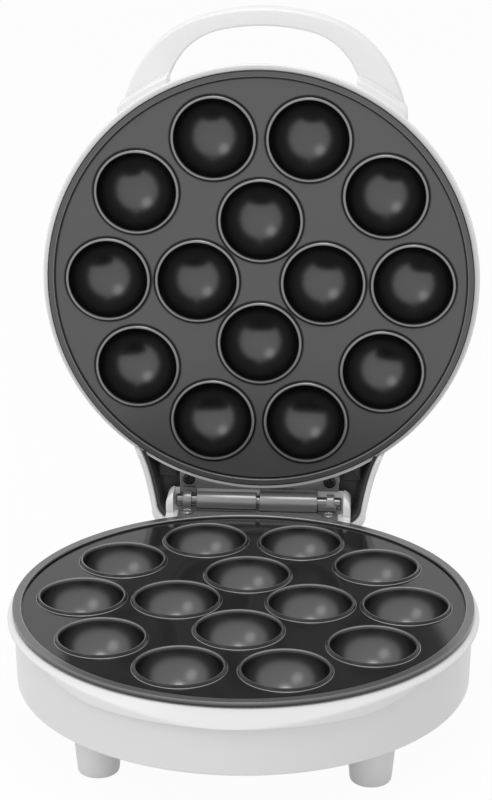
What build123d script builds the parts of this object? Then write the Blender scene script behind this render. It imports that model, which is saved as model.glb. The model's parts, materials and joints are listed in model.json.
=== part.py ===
"""A countertop baker for bite-sized round donuts, with a lid that swings up on a steel hinge.

Two round cast plates with bowls in them meet at a flat seam. The lower plate sits in a white drum
on four feet and the upper one in a domed white lid with a loop handle. Everything is drawn with the
lid shut, about the middle of the plates, and the lid is then turned about the hinge pin to its open
stop, which is how the object stands at rest. Millimetres: X to the right, Y away from the handle, Z up.
"""

from build123d import *
import math
import os

os.makedirs("parts", exist_ok=True)

# Place of the plates in the whole object
SEAM_Z = 56.6
PLATE_Y = -24.4

# Baking plates
LOWER_PLATE_R = 100.0
UPPER_PLATE_R = 99.3
RIM_WIDTH = 2.8
RIM_HEIGHT = 2.0
PLATE_SHEET = 2.0
SEAM_GAP = 0.2
SPIGOT_R = 98.0
BOWL_R = 18.4
BOWL_LIP = 1.8
BOWL_WALL = 2.4
BOWL_SIDES = 20
OUTER_ROW_R = 71.0
OUTER_ROW_COUNT = 10
INNER_ROW_R = 29.3
INNER_ROW_COUNT = 4
PILLAR_R = 4.0
PILLAR_ROW_R = 86.0
PILLAR_ANGLES = (54, 126, 234, 306)

# Heating parts under each plate
HEATER_ROW_R = 50.0
HEATER_WIDTH = 6.4
HEATER_TOP = -12.5
HEATER_BOTTOM = -17.9
PIN_ANGLES = (71, 109)
REFLECTOR_R = 91.0
REFLECTOR_TOP = -21.6
REFLECTOR_BOTTOM = -22.4
BOSS_SEAT = -25.6
BLOCK_FRONT = 68.0
LID_BLOCK_FRONT = 66.0
LID_LEAD_Z = 30.0

# Screws: shank radii of the metal screws, the foot screws and the cover screws
SHANK_R = 1.6
FOOT_SHANK_R = 1.5
COVER_SHANK_R = 1.3
SCREW_SIDES = 12

# Hinge
HINGE_Y = 108.14
HINGE_Z = 2.3
OPEN_ANGLE = 92.67
BARREL_R = 4.4
LEAF_SHEET = 1.4
PIN_R = 2.94
PIN_PLAY = 0.06
LEAF_HALF = 38.0
LEAF_SCREW_X = 33.6
LID_SCREW_REACH = 9.9
BASE_SCREW_REACH = 8.6
LEAF_SEAT = HINGE_Z - BARREL_R
LID_LEAF_SEAT = HINGE_Z + BARREL_R

# Lower housing
OPENING_R = 98.6
EDGE_R = 100.4
EDGE_Z = -3.0
LIP_R = 103.0
LIP_CORNER = -4.4
LIP_BOTTOM = -5.9
DRUM_TOP = -5.5
DRUM_TOP_R = 100.2
DRUM_FOOT_R = 99.4
DRUM_BOTTOM = -34.0
DRUM_INSIDE_R = 97.2
APRON_R = 101.4
APRON_REACH = 103.9
APRON_BOTTOM = -11.0
APRON_HALF = 52.0
APRON_END = 77.0
BEVEL_HIGH_R = 90.0
BEVEL_HIGH_Y = -9.6
BEVEL_LOW_R = 153.1
BEVEL_LOW_Y = 48.1
COVER_TOP = -31.6
COVER_BOTTOM = -33.6
COVER_SCREW_DEPTH = -27.0
LEDGE_WIDTH = 3.0

# Hinge tower at the back of the lower housing
TOWER_HALF = 43.9
TOWER_POCKET_HALF = 40.3
TOWER_R = 7.0
TOWER_TOP = 7.9
TOWER_BACK = 105.6
CHEEK_ROUND = 5.2
TOWER_WALL = 2.4
TOWER_FOOT = -31.0

# Feet: radius at the top and the bottom, and their places
FOOT_TOP_R = 10.8
FOOT_BOTTOM_R = 8.8
PAD_R = 6.6
FOOT_SIDES = 20
FOOT_PLACES = ((57.7, -56.6), (-57.7, -56.6), (42.0, 74.0), (-42.0, 74.0))

# Lid
LID_R = 101.7
LID_EDGE_Z = 3.0
LID_WALL_FOOT = 5.0
LID_TOP = 38.5
CROWN_UNDER = 35.9
SHOULDER_R = 22.0
SHOULDER_MIDDLE = (75.74, 16.5)
SHOULDER_ANGLES = (15.4, 40.3, 65.2, 90.0)
SKIRT_EDGE_Z = 0.9
SKIRT_TOP = 25.0
SKIRT_FLANK = ((61.0, 79.5), (56.0, 91.5), (53.4, 101.5), (51.2, 112.8))
SKIRT_END = 121.5
SKIRT_LEAN = 3.5
SKIRT_WALL = 2.6
HANDLE_LOW = 20.0
HANDLE_DEPTH = 12.0
HANDLE_SCREW_X = 53.0
HANDLE_SCREW_Z = 27.6
HANDLE_SCREW_END = -88.0
HANDLE_SEAT_Y = -62.0
CORBEL_R = 104.4
CORBEL_LOW = 4.5
LINER_LOW = 12.2
LINER_HIGH = 14.0

# Cord gland at the back
GLAND_Z = -21.5
GLAND_BORE_R = 3.5
GLAND_HOLE_R = 5.2


def turned(*points):
    """A solid of revolution about Z from an outline of (radius, height) points."""
    return revolve(Plane.XZ * make_face(Polyline(*points, close=True)), Axis.Z)


def block(x, y, z):
    """A box between two values on each axis."""
    size = (x[1] - x[0], y[1] - y[0], z[1] - z[0])
    return Pos(x[0], y[0], z[0]) * Box(*size, align=(Align.MIN, Align.MIN, Align.MIN))


def post(radius, bottom, top, x=0.0, y=0.0):
    """An upright cylinder between two heights."""
    ends = (Align.CENTER, Align.CENTER, Align.MIN)
    return Pos(x, y, bottom) * Cylinder(radius, top - bottom, align=ends)


def screw_post(radius, bottom, top, x=0.0, y=0.0):
    """An upright screw part with flats, which fits inside a round hole of the same radius."""
    return Pos(x, y, bottom) * extrude(RegularPolygon(radius, SCREW_SIDES), top - bottom)


def rod(radius, x_start, x_end, y=HINGE_Y, z=HINGE_Z):
    """A cylinder along X, on the hinge line unless a place is given."""
    return Pos((x_start + x_end) / 2, y, z) * Rot(Y=90) * Cylinder(radius, x_end - x_start)


def along_y(radius, y_start, y_end, x, z):
    """A cylinder along Y."""
    return Pos(x, (y_start + y_end) / 2, z) * Rot(X=90) * Cylinder(radius, y_end - y_start)


def side_profile(points, half_width):
    """A prism across the middle plane from an outline of (Y, Z) points."""
    outline = make_face(Polyline(*[(0, y, z) for y, z in points], close=True))
    return extrude(outline, amount=half_width, dir=(1, 0, 0), both=True)


def on_circle(radius, angles):
    """Points at given angles on a circle about the plate centre."""
    return [(radius * math.cos(math.radians(a)), radius * math.sin(math.radians(a))) for a in angles]


def both_sides(x, y):
    """A place and its mirror image."""
    return ((x, y), (-x, y))


def wire(*points):
    """An insulated lead with square corners, along a route of straight runs."""
    route = Polyline(*points)
    section = Plane(origin=points[0], z_dir=route % 0) * RegularPolygon(1.2, 6)
    return sweep(section, path=route, transition=Transition.RIGHT)


def upside_down(solid):
    """The same piece for the lid, mirrored in the seam."""
    return mirror(solid, about=Plane.XY)


def faceted(rings):
    """A closed solid of flat facets through rings of corners, with its two end rings filled in."""
    outlines = [rings[0], rings[-1]]
    for upper, lower in zip(rings, rings[1:]):
        outlines += [(upper[i - 1], upper[i], lower[i], lower[i - 1]) for i in range(len(upper))]
    return Solid(Shell([Face(Wire.make_polygon([Vector(*p) for p in outline])) for outline in outlines]))


def ring_of_corners(radius, sides, z):
    """The corners of a level regular polygon about the origin."""
    return [(x, y, z) for x, y in on_circle(radius, [360 / sides * i for i in range(sides)])]


LEAF_SCREWS_IN_BASE = both_sides(LEAF_SCREW_X, HINGE_Y - BASE_SCREW_REACH)
LEAF_SCREWS_IN_LID = both_sides(LEAF_SCREW_X, HINGE_Y - LID_SCREW_REACH)
COVER_SCREW_PLACES = on_circle(91.0, (15, 165, 195, 345))
LENS_PLACES = both_sides(9.0, -54.0)
CLIP_ANGLES = (0, 90, 180, 270)
RIM_TOP = -SEAM_GAP
FLOOR_TOP = RIM_TOP - RIM_HEIGHT
FLOOR_UNDER = FLOOR_TOP - PLATE_SHEET
BOWL_PLACES = on_circle(OUTER_ROW_R, [360 / OUTER_ROW_COUNT * i for i in range(OUTER_ROW_COUNT)])
BOWL_PLACES += on_circle(INNER_ROW_R, [360 / INNER_ROW_COUNT * i for i in range(INNER_ROW_COUNT)])
PILLARS = on_circle(PILLAR_ROW_R, PILLAR_ANGLES)
PIN_PLACES = on_circle(HEATER_ROW_R, PIN_ANGLES)


def bowl_facets(radius, sides, depth_angles):
    """A hemisphere below the seam as rings of flat facets, at given angles down from its mouth."""
    angles = [math.radians(a) for a in depth_angles]
    return faceted([ring_of_corners(radius * math.cos(a), sides, -radius * math.sin(a)) for a in angles])


def baking_plate(plate_r):
    """A cast plate, bowls down: raised rim, spigot, a ring of bowls round an inner four, and pillars."""
    groove_r = plate_r - RIM_WIDTH
    plate = turned(
        (0, FLOOR_TOP),
        (groove_r, FLOOR_TOP),
        (groove_r, RIM_TOP),
        (plate_r, RIM_TOP),
        (plate_r, FLOOR_TOP),
        (SPIGOT_R, FLOOR_TOP),
        (SPIGOT_R, FLOOR_UNDER),
        (0, FLOOR_UNDER),
    )
    lip_bottom = FLOOR_UNDER + PLATE_SHEET / 2
    mouth = RegularPolygon(BOWL_R + BOWL_LIP, BOWL_SIDES)
    lip = Pos(0, 0, lip_bottom) * extrude(mouth, RIM_TOP - lip_bottom)
    shell = bowl_facets(BOWL_R + BOWL_WALL, 12, (8, 30, 52, 74))
    hollow = bowl_facets(BOWL_R, BOWL_SIDES, (0, 20, 40, 60, 78))
    plate += [Pos(x, y) * (lip + shell) for x, y in BOWL_PLACES]
    plate += [post(PILLAR_R, REFLECTOR_TOP, lip_bottom, x, y) for x, y in PILLARS]
    plate -= [Pos(x, y) * hollow for x, y in BOWL_PLACES]
    plate -= [post(SHANK_R, REFLECTOR_TOP, REFLECTOR_TOP + 9, x, y) for x, y in PILLARS]
    return plate


lower_plate = baking_plate(LOWER_PLATE_R)
upper_plate = upside_down(baking_plate(UPPER_PLATE_R))


def heater():
    """A flattened heating tube bent to an open ring, with a cold pin down from each end."""
    across = (HEATER_ROW_R - HEATER_WIDTH / 2, HEATER_ROW_R + HEATER_WIDTH / 2)
    section = block(across, (0, 1), (HEATER_BOTTOM, HEATER_TOP))
    ring = Rot(Z=PIN_ANGLES[1] - 4) * revolve(section.faces().sort_by(Axis.Y)[0], Axis.Z, 330)
    return ring + [post(SHANK_R, REFLECTOR_BOTTOM - 4, HEATER_BOTTOM, x, y) for x, y in PIN_PLACES]


lower_heater = heater()
upper_heater = upside_down(lower_heater)

# Ceramic stand-offs hold the element off its reflector
STANDOFFS = on_circle(HEATER_ROW_R, (0, 180, 225, 315))
lower_standoffs = Compound(
    [block((x - 4, x + 4), (y - 4, y + 4), (REFLECTOR_TOP, HEATER_BOTTOM)) for x, y in STANDOFFS]
)
upper_standoffs = upside_down(lower_standoffs)


def reflector():
    """A bright tinned disc under the element, with holes for the pillar screws, the pins and the leads."""
    disc = post(REFLECTOR_R, REFLECTOR_BOTTOM, REFLECTOR_TOP)
    disc -= [post(1.8, REFLECTOR_BOTTOM, REFLECTOR_TOP, x, y) for x, y in PILLARS]
    disc -= [post(3.4, REFLECTOR_BOTTOM, REFLECTOR_TOP, x, y) for x, y in PIN_PLACES]
    return disc - block((-6.5, 6.5), (-3.5, 3.5), (REFLECTOR_BOTTOM, REFLECTOR_TOP))


lower_reflector = reflector()
upper_reflector = upside_down(lower_reflector)


def plate_sensor(body_r, drop):
    """A round sensor against the underside of a plate, with two spade tabs."""
    under = FLOOR_UNDER - drop
    tabs = [block((x, x + 1.2), (-3, 3), (under - 6, under)) for x in (-4.2, 3.0)]
    return post(body_r, under, FLOOR_UNDER) + tabs


lower_thermostat = plate_sensor(7.6, 7.0)
upper_thermal_fuse = upside_down(plate_sensor(5.0, 5.0))


def pillar_screws(seat, length):
    """Four pan-head screws up into the plate's pillars, heads down on a seat."""
    solids = []
    for x, y in PILLARS:
        head = screw_post(3.0, seat - 2.0, seat, x, y)
        solids.append(head + screw_post(SHANK_R, seat, seat + length, x, y))
    return Compound(solids)


lower_plate_screws = pillar_screws(BOSS_SEAT, 11.0)
upper_plate_screws = upside_down(pillar_screws(REFLECTOR_BOTTOM, 8.0))


def hinge_leaf(knuckles, side, arc_r, bore_r, screw_reach):
    """A steel leaf above (side 1) or below (side -1) the pin: flat sheet, and tabs rolled round the pin."""
    far = HINGE_Z + side * BARREL_R
    near = far - side * LEAF_SHEET
    sheet_z = (min(far, near), max(far, near))
    sheet_end = HINGE_Y - BARREL_R - 0.6
    leaf = block((-LEAF_HALF, LEAF_HALF), (88, sheet_end), sheet_z)
    leaf += [block(span, (sheet_end, HINGE_Y), sheet_z) for span in knuckles]
    leaf += [rod(BARREL_R, *span) for span in knuckles]
    leaf -= rod(bore_r, -LEAF_HALF - 1, LEAF_HALF + 1)
    leaf -= post(arc_r, -10, 10)
    screws = both_sides(LEAF_SCREW_X, HINGE_Y - screw_reach)
    return leaf - [post(SHANK_R, *sheet_z, x, y) for x, y in screws]


# Each leaf has a broad knuckle in the middle and, at its outer end, one narrowed to a curled strip
lid_hinge_leaf = hinge_leaf(((-38.0, -30.0), (0.5, 28.0)), 1, LID_R + 0.5, PIN_R + PIN_PLAY, LID_SCREW_REACH)
for span in ((-38.0, -36.0), (-32.0, -30.0)):
    lid_hinge_leaf -= block(span, (HINGE_Y - 1.2, HINGE_Y + 5), (HINGE_Z - 5, HINGE_Z + 5))
base_hinge_leaf = hinge_leaf(((-29.5, -1.0), (28.5, 37.0)), -1, LOWER_PLATE_R + 0.9, PIN_R, BASE_SCREW_REACH)
for span in ((28.5, 32.3), (36.0, 37.0)):
    base_hinge_leaf -= block(span, (HINGE_Y - 5, HINGE_Y + 5), (HINGE_Z + 0.5, HINGE_Z + 5))
hinge_pin = rod(PIN_R, -39.5, 39.5)


def leaf_screws(reach, seat, side):
    """Two round-head screws into a leaf; side is 1 with the heads up and -1 with the heads down."""
    solids = []
    for x, y in both_sides(LEAF_SCREW_X, HINGE_Y - reach):
        head = sorted((seat, seat + side * 1.6))
        shank = sorted((seat, seat - side * 7.5))
        solids.append(screw_post(2.95, *head, x, y) + screw_post(SHANK_R, *shank, x, y))
    return Compound(solids)


base_leaf_screws = leaf_screws(BASE_SCREW_REACH, LEAF_SEAT + LEAF_SHEET, 1)
lid_leaf_screws = leaf_screws(LID_SCREW_REACH, LID_LEAF_SEAT - LEAF_SHEET, -1)


def housing_lip():
    """The rolled top edge of the drum, with a deeper apron in front under a bevel that widens sideways."""
    lip = turned(
        (OPENING_R, EDGE_Z),
        (EDGE_R, EDGE_Z),
        (LIP_R, LIP_CORNER),
        (LIP_R, LIP_BOTTOM),
        (OPENING_R, LIP_BOTTOM),
    )
    bottom = Line((-APRON_HALF, APRON_BOTTOM), (APRON_HALF, APRON_BOTTOM))
    right = TangentArc(bottom @ 1, (APRON_END, LIP_BOTTOM), tangent=(1, 0))
    left = TangentArc(bottom @ 0, (-APRON_END, LIP_BOTTOM), tangent=(-1, 0))
    above = Polyline(
        right @ 1,
        (APRON_REACH, LIP_BOTTOM),
        (APRON_REACH, 0),
        (-APRON_REACH, 0),
        (-APRON_REACH, LIP_BOTTOM),
        left @ 1,
    )
    front = extrude(Plane.XZ * make_face([bottom, right, above, left]), amount=APRON_REACH + 5)
    apron = Pos(0, APRON_R - APRON_REACH) * post(APRON_R, APRON_BOTTOM, EDGE_Z) & front
    lip += apron - post(OPENING_R + 0.6, APRON_BOTTOM, EDGE_Z)
    high = Pos(0, BEVEL_HIGH_Y, EDGE_Z + 2) * Circle(BEVEL_HIGH_R)
    low = Pos(0, BEVEL_LOW_Y, APRON_BOTTOM - 2) * Circle(BEVEL_LOW_R)
    return lip & loft([high, low])


def hinge_tower():
    """A box that stands out at the back of the drum, with two cheeks and a trough for the barrels."""
    shelf_back = TOWER_BACK + 3.4
    neck = side_profile(
        [
            (86, TOWER_FOOT),
            (TOWER_BACK - 1.2, TOWER_FOOT),
            (TOWER_BACK, TOWER_FOOT + 1.2),
            (TOWER_BACK, -8.2),
            (shelf_back, -4.6),
            (shelf_back, LEAF_SEAT),
            (86, LEAF_SEAT),
        ],
        TOWER_HALF,
    )
    tower = neck + rod(TOWER_R, -TOWER_HALF, TOWER_HALF)
    limits = block((-TOWER_HALF, TOWER_HALF), (80, 120), (-40, TOWER_TOP))
    tower &= fillet(limits.edges().filter_by(Axis.Y).group_by(Axis.Z)[-1], CHEEK_ROUND)
    across = (-TOWER_POCKET_HALF, TOWER_POCKET_HALF)
    tower -= rod(BARREL_R + 0.6, *across)
    tower -= block(across, (86, HINGE_Y), (LEAF_SEAT, 20))
    tower -= block(across, (HINGE_Y, HINGE_Y + 4.95), (HINGE_Z, 20))
    tower -= tower_inside(86)
    tower += [post(3.6, -12, LEAF_SEAT - 2, x, y) for x, y in LEAF_SCREWS_IN_BASE]
    tower -= post(EDGE_R + 0.2, EDGE_Z, 20) + post(OPENING_R, DRUM_TOP, EDGE_Z)
    return tower - post(DRUM_INSIDE_R, TOWER_FOOT, DRUM_TOP)


def tower_inside(front):
    """The hollow of the tower, from a given front to its back wall."""
    across = (TOWER_WALL - TOWER_HALF, TOWER_HALF - TOWER_WALL)
    return block(across, (front, TOWER_BACK - TOWER_WALL), (TOWER_FOOT + TOWER_WALL, LEAF_SEAT - 2.5))


def lower_housing():
    """The white drum: lip and apron, tapered wall, ledge for the cover, bosses, and the hinge tower."""
    drum = turned(
        (DRUM_INSIDE_R, DRUM_TOP),
        (DRUM_TOP_R, DRUM_TOP),
        (DRUM_FOOT_R, DRUM_BOTTOM),
        (DRUM_INSIDE_R, DRUM_BOTTOM),
        (DRUM_INSIDE_R, COVER_TOP),
        (DRUM_INSIDE_R - LEDGE_WIDTH, COVER_TOP),
        (DRUM_INSIDE_R - LEDGE_WIDTH, COVER_TOP + 2),
        (DRUM_INSIDE_R, COVER_TOP + 2),
    )
    housing = drum - tower_inside(80) + housing_lip() + hinge_tower()
    wall_middle = (DRUM_INSIDE_R + DRUM_FOOT_R) / 2
    for angle, (x, y) in zip(PILLAR_ANGLES, PILLARS):
        heights = (COVER_TOP + 2, REFLECTOR_BOTTOM - 1)
        web = Rot(Z=angle) * block((PILLAR_ROW_R + 5, wall_middle), (-2, 2), heights)
        housing += post(6.2, COVER_TOP, REFLECTOR_BOTTOM, x, y) + web
        housing -= post(3.4, COVER_TOP, BOSS_SEAT, x, y) + post(1.9, BOSS_SEAT, REFLECTOR_BOTTOM, x, y)
    for x, y in COVER_SCREW_PLACES:
        boss_top = COVER_SCREW_DEPTH + 2
        web = block((93, wall_middle), (-2, 2), (COVER_TOP, boss_top))
        housing += post(3.6, COVER_TOP, boss_top, x, y) + Rot(Z=math.degrees(math.atan2(y, x))) * web
        housing -= post(COVER_SHANK_R, COVER_TOP, COVER_SCREW_DEPTH, x, y)
    housing -= [post(SHANK_R, LEAF_SEAT - 7, LEAF_SEAT, x, y) for x, y in LEAF_SCREWS_IN_BASE]
    return housing - along_y(GLAND_HOLE_R, TOWER_BACK - 10, TOWER_BACK + 10, 0, GLAND_Z)


base_housing = lower_housing()


def cover():
    """The bottom cover, a flat disc with two fields of vent slots and holes for its screws and the feet."""
    disc = post(DRUM_INSIDE_R - 0.4, COVER_BOTTOM, COVER_TOP)
    slot = extrude(SlotOverall(26, 3), COVER_TOP - COVER_BOTTOM)
    disc -= [Pos(0, 8.0 * i, COVER_BOTTOM) * slot for i in range(-3, 4)]
    disc -= [post(COVER_SHANK_R, COVER_BOTTOM, COVER_TOP, x, y) for x, y in COVER_SCREW_PLACES]
    return disc - [post(FOOT_SHANK_R, COVER_BOTTOM, COVER_TOP, x, y) for x, y in FOOT_PLACES]


def cover_screw(x, y):
    """A small screw up through the cover into a boss."""
    head = screw_post(2.8, COVER_BOTTOM - 1.4, COVER_BOTTOM, x, y)
    return head + screw_post(COVER_SHANK_R, COVER_BOTTOM, COVER_SCREW_DEPTH, x, y)


bottom_cover = cover()
cover_screws = Compound([cover_screw(x, y) for x, y in COVER_SCREW_PLACES])

# Four tapered feet, each on a screw down from inside, with a rubber pad let into its end
FOOT_END = 1 - SEAM_Z
PAD_TOP = 2 - SEAM_Z
FOOT_SCREW_END = COVER_BOTTOM - 12
foot = faceted([
    ring_of_corners(FOOT_TOP_R, FOOT_SIDES, COVER_BOTTOM),
    ring_of_corners(FOOT_BOTTOM_R, FOOT_SIDES, FOOT_END + 1),
    ring_of_corners(FOOT_BOTTOM_R - 1, FOOT_SIDES, FOOT_END),
])
foot -= post(PAD_R, -SEAM_Z, PAD_TOP) + post(FOOT_SHANK_R, FOOT_SCREW_END, COVER_BOTTOM)


def foot_screw(x, y):
    """A screw down through the cover into a foot."""
    head = screw_post(3.0, COVER_TOP, COVER_TOP + 1.8, x, y)
    return head + screw_post(FOOT_SHANK_R, FOOT_SCREW_END, COVER_TOP, x, y)


feet = Compound([Pos(x, y) * foot for x, y in FOOT_PLACES])
foot_pads = Compound([post(PAD_R, -SEAM_Z, PAD_TOP, x, y) for x, y in FOOT_PLACES])
foot_screws = Compound([foot_screw(x, y) for x, y in FOOT_PLACES])

# A rubber bush in the back of the tower, where a supply cord comes in: two flanges and a neck
neck_start = TOWER_BACK - TOWER_WALL
gland = along_y(6.8, TOWER_BACK, TOWER_BACK + 2.2, 0, GLAND_Z)
gland += along_y(GLAND_HOLE_R, neck_start, TOWER_BACK, 0, GLAND_Z)
gland += along_y(6.6, neck_start - 2.4, neck_start, 0, GLAND_Z)
cord_gland = gland - along_y(GLAND_BORE_R, TOWER_BACK - 10, TOWER_BACK + 10, 0, GLAND_Z)

# Terminal block on the bottom cover, and the leads from it to the element and the thermostat
LEAD_Z = COVER_TOP + 3.4
LEAD_BEND_Y = 56.0
terminal_block = block((-13, 13), (BLOCK_FRONT, BLOCK_FRONT + 10), (COVER_TOP, COVER_TOP + 7))
pin_x, pin_y = PIN_PLACES[0]
base_leads = []
for side in (-1, 1):
    outer, inner = (side * 9, side * 3.6)
    pin = (side * pin_x, pin_y)
    base_leads.append(wire(
        (outer, BLOCK_FRONT, LEAD_Z),
        (outer, LEAD_BEND_Y, LEAD_Z),
        (side * pin_x, LEAD_BEND_Y, LEAD_Z),
        (*pin, LEAD_Z),
        (*pin, REFLECTOR_BOTTOM - 4),
    ))
    base_leads.append(wire((inner, BLOCK_FRONT, LEAD_Z), (inner, 0, LEAD_Z), (inner, 0, FLOOR_UNDER - 13)))
base_leads = Compound(base_leads)


def skirt_outline(inset):
    """Plan of the lid's rear skirt, which narrows to the back with rounded corners, less an inset."""
    end = SKIRT_END - inset
    half = []
    for sign in (1, -1):
        flank = Spline(*[(sign * (x - inset), y) for x, y in SKIRT_FLANK])
        corner = ThreePointArc(flank @ 1, (sign * (49.2 - inset), end - 2.6), (sign * (43.6 - inset), end))
        half.append((flank, corner))
    (right, right_corner), (left, left_corner) = half
    back_edge = Line(right_corner @ 1, left_corner @ 1)
    return make_face([right, right_corner, back_edge, left_corner, left, Line(left @ 0, right @ 0)])


def dome_outside():
    """The filled form of the lid: a short rim, a wall that leans in, a round shoulder and a flat crown."""
    middle_r, middle_z = SHOULDER_MIDDLE
    angles = [math.radians(a) for a in SHOULDER_ANGLES]
    shoulder = [(middle_r + SHOULDER_R * math.cos(a), middle_z + SHOULDER_R * math.sin(a)) for a in angles]
    return turned((0, LID_EDGE_Z), (LID_R, LID_EDGE_Z), (LID_R, LID_WALL_FOOT), *shoulder, (0, LID_TOP))


def skirt_form(low_inset, low, high_inset, high):
    """The skirt's plan carried up to a smaller one."""
    return loft([Pos(0, 0, low) * skirt_outline(low_inset), Pos(0, 0, high) * skirt_outline(high_inset)])


DOME = dome_outside()
CAVITY = turned(
    (0, LID_EDGE_Z),
    (OPENING_R, LID_EDGE_Z),
    (OPENING_R, 7),
    (94.4, 22.6),
    (89.5, 30.6),
    (79, CROWN_UNDER),
    (0, CROWN_UNDER),
)
HANDLE_SCREWS_AT = (-HANDLE_SCREW_X, HANDLE_SCREW_X)
HANDLE_SCREW_HOLES = [
    along_y(SHANK_R, HANDLE_SCREW_END, HANDLE_SEAT_Y, x, HANDLE_SCREW_Z) for x in HANDLE_SCREWS_AT
]


def lid_fixings():
    """Bosses and ribs inside the lid: reflector posts, handle screw seats, clip ribs and hinge bosses."""
    reflector_posts = on_circle(76.0, (20, 160, 200, 340))
    solids = [post(4.0, -REFLECTOR_BOTTOM, CROWN_UNDER + 1, x, y) for x, y in reflector_posts]
    for x in HANDLE_SCREWS_AT:
        solids.append(block((x - 4.5, x + 4.5), (-86, HANDLE_SEAT_Y), (24.6, 32)))
    solids += [Rot(Z=a) * block((90.15, 96), (-4, 4), (24.2, 25.4)) for a in CLIP_ANGLES]
    for x, y in LEAF_SCREWS_IN_LID:
        boss = post(4.6, LID_LEAF_SEAT, LINER_HIGH, x, y) + post(6.0, LINER_HIGH, SKIRT_TOP - 2, x, y)
        solids.append(boss - CAVITY)
    return solids


def upper_housing():
    """The white lid: dome, rear skirt over the hinge, corbels under the handle, bosses and ribs inside."""
    skirt = skirt_form(0, SKIRT_EDGE_Z, SKIRT_LEAN, SKIRT_TOP) - post(LID_R, 0, LID_EDGE_Z)
    pocket = skirt_form(SKIRT_WALL, SKIRT_EDGE_Z, SKIRT_WALL + SKIRT_LEAN, SKIRT_TOP - SKIRT_WALL)
    outside = DOME + skirt
    corbel_disc = post(CORBEL_R, CORBEL_LOW, HANDLE_LOW)
    corbel_spans = ((43.3, 66.5), (-66.5, -43.3))
    housing = outside + [corbel_disc & block(span, (-105, -70), (0, LID_TOP)) for span in corbel_spans]
    housing -= pocket - DOME
    housing -= CAVITY
    housing += [solid & outside for solid in lid_fixings()]
    for x, y in LEAF_SCREWS_IN_LID:
        housing -= post(3.2, 0, LID_LEAF_SEAT - LEAF_SHEET, x, y)
        housing -= post(SHANK_R, 0, LID_LEAF_SEAT + 6.2, x, y)
    housing -= HANDLE_SCREW_HOLES
    return housing - [post(3.6, CROWN_UNDER, LID_TOP, x, y) for x, y in LENS_PLACES]


lid_housing = upper_housing()


def handle_loop():
    """A flat loop grip whose two arms run into the front of the lid above the corbels."""
    outer = [(0, -124.3), (30, -119.5), (56, -98.5), (65.2, -72)]
    inner = [(0, -116.2), (20.2, -113.8), (38.5, -100.7), (46, -78)]
    edges = []
    for sign in (1, -1):
        ends = []
        for points in (outer, inner):
            direction = (sign, 0)
            for start, end in zip(points, points[1:]):
                arc = TangentArc((sign * start[0], start[1]), (sign * end[0], end[1]), tangent=direction)
                direction = arc % 1
                edges.append(arc)
            ends.append(edges[-1] @ 1)
        edges.append(Line(*ends))
    loop = Pos(0, 0, HANDLE_LOW) * extrude(make_face(edges), HANDLE_DEPTH)
    loop = chamfer(loop.edges().filter_by(GeomType.CIRCLE), 1.2)
    return loop - DOME - HANDLE_SCREW_HOLES


def handle_screw(x):
    """A screw from inside the lid into the root of the handle."""
    upright = screw_post(3.0, 0, 2) + screw_post(SHANK_R, HANDLE_SCREW_END - HANDLE_SEAT_Y, 0)
    return Pos(x, HANDLE_SEAT_Y, HANDLE_SCREW_Z) * Rot(X=-90) * upright


handle = handle_loop()
handle_screws = Compound([handle_screw(x) for x in HANDLE_SCREWS_AT])


def liner():
    """A dark tray inside the skirt, stepped down beside the hinge leaf and pierced by its two bosses."""
    plan = skirt_outline(SKIRT_WALL + 2.4)
    tray = Pos(0, 0, LINER_LOW) * extrude(plan, LINER_HIGH - LINER_LOW)
    steps = [block(span, (88, 98.4), (8, LINER_LOW)) for span in ((39.6, 48.4), (-48.4, -39.6))]
    tray = tray + steps - post(LID_R + 0.2, 0, 20)
    return tray - [post(4.6, LINER_LOW, LINER_HIGH, x, y) for x, y in LEAF_SCREWS_IN_LID]


lid_liner = liner()


def retaining_clip(angle):
    """A spring-steel clip from the back of the upper reflector to a rib in the lid."""
    back = -REFLECTOR_BOTTOM
    clip = block((84, 90), (-3, 3), (back, back + 0.8)) + block((89.2, 90), (-3, 3), (back, 26.2))
    return Rot(Z=angle) * (clip + block((89.6, 90.7), (-3, 3), (25.4, 26.2)))


lid_clips = Compound([retaining_clip(a) for a in CLIP_ANGLES])
lens_seat = CROWN_UNDER - 1
lens = post(3.6, lens_seat, LID_TOP + 0.6) + post(4.6, lens_seat, CROWN_UNDER)
lamp_lenses = Compound([Pos(x, y) * lens for x, y in LENS_PLACES])
lamps = Compound([post(2.4, lens_seat - 8, lens_seat, x, y) for x, y in LENS_PLACES])

# Joint block in the lid, and the leads from it to the element and the fuse
lid_terminal = block((-11, 11), (LID_BLOCK_FRONT, LID_BLOCK_FRONT + 9), (-REFLECTOR_BOTTOM, CROWN_UNDER - 2))
lid_leads = []
for side in (-1, 1):
    outer, inner = (side * 9, side * 3.6)
    pin = (side * pin_x, pin_y)
    lid_leads.append(wire(
        (outer, LID_BLOCK_FRONT, LID_LEAD_Z),
        (outer, LEAD_BEND_Y, LID_LEAD_Z),
        (side * pin_x, LEAD_BEND_Y, LID_LEAD_Z),
        (*pin, LID_LEAD_Z),
        (*pin, 4 - REFLECTOR_BOTTOM),
    ))
    fuse_end = (inner, 0, 11 - FLOOR_UNDER)
    lid_leads.append(wire((inner, LID_BLOCK_FRONT, LID_LEAD_Z), (inner, 0, LID_LEAD_Z), fuse_end))
lid_leads = Compound(lid_leads)

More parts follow.
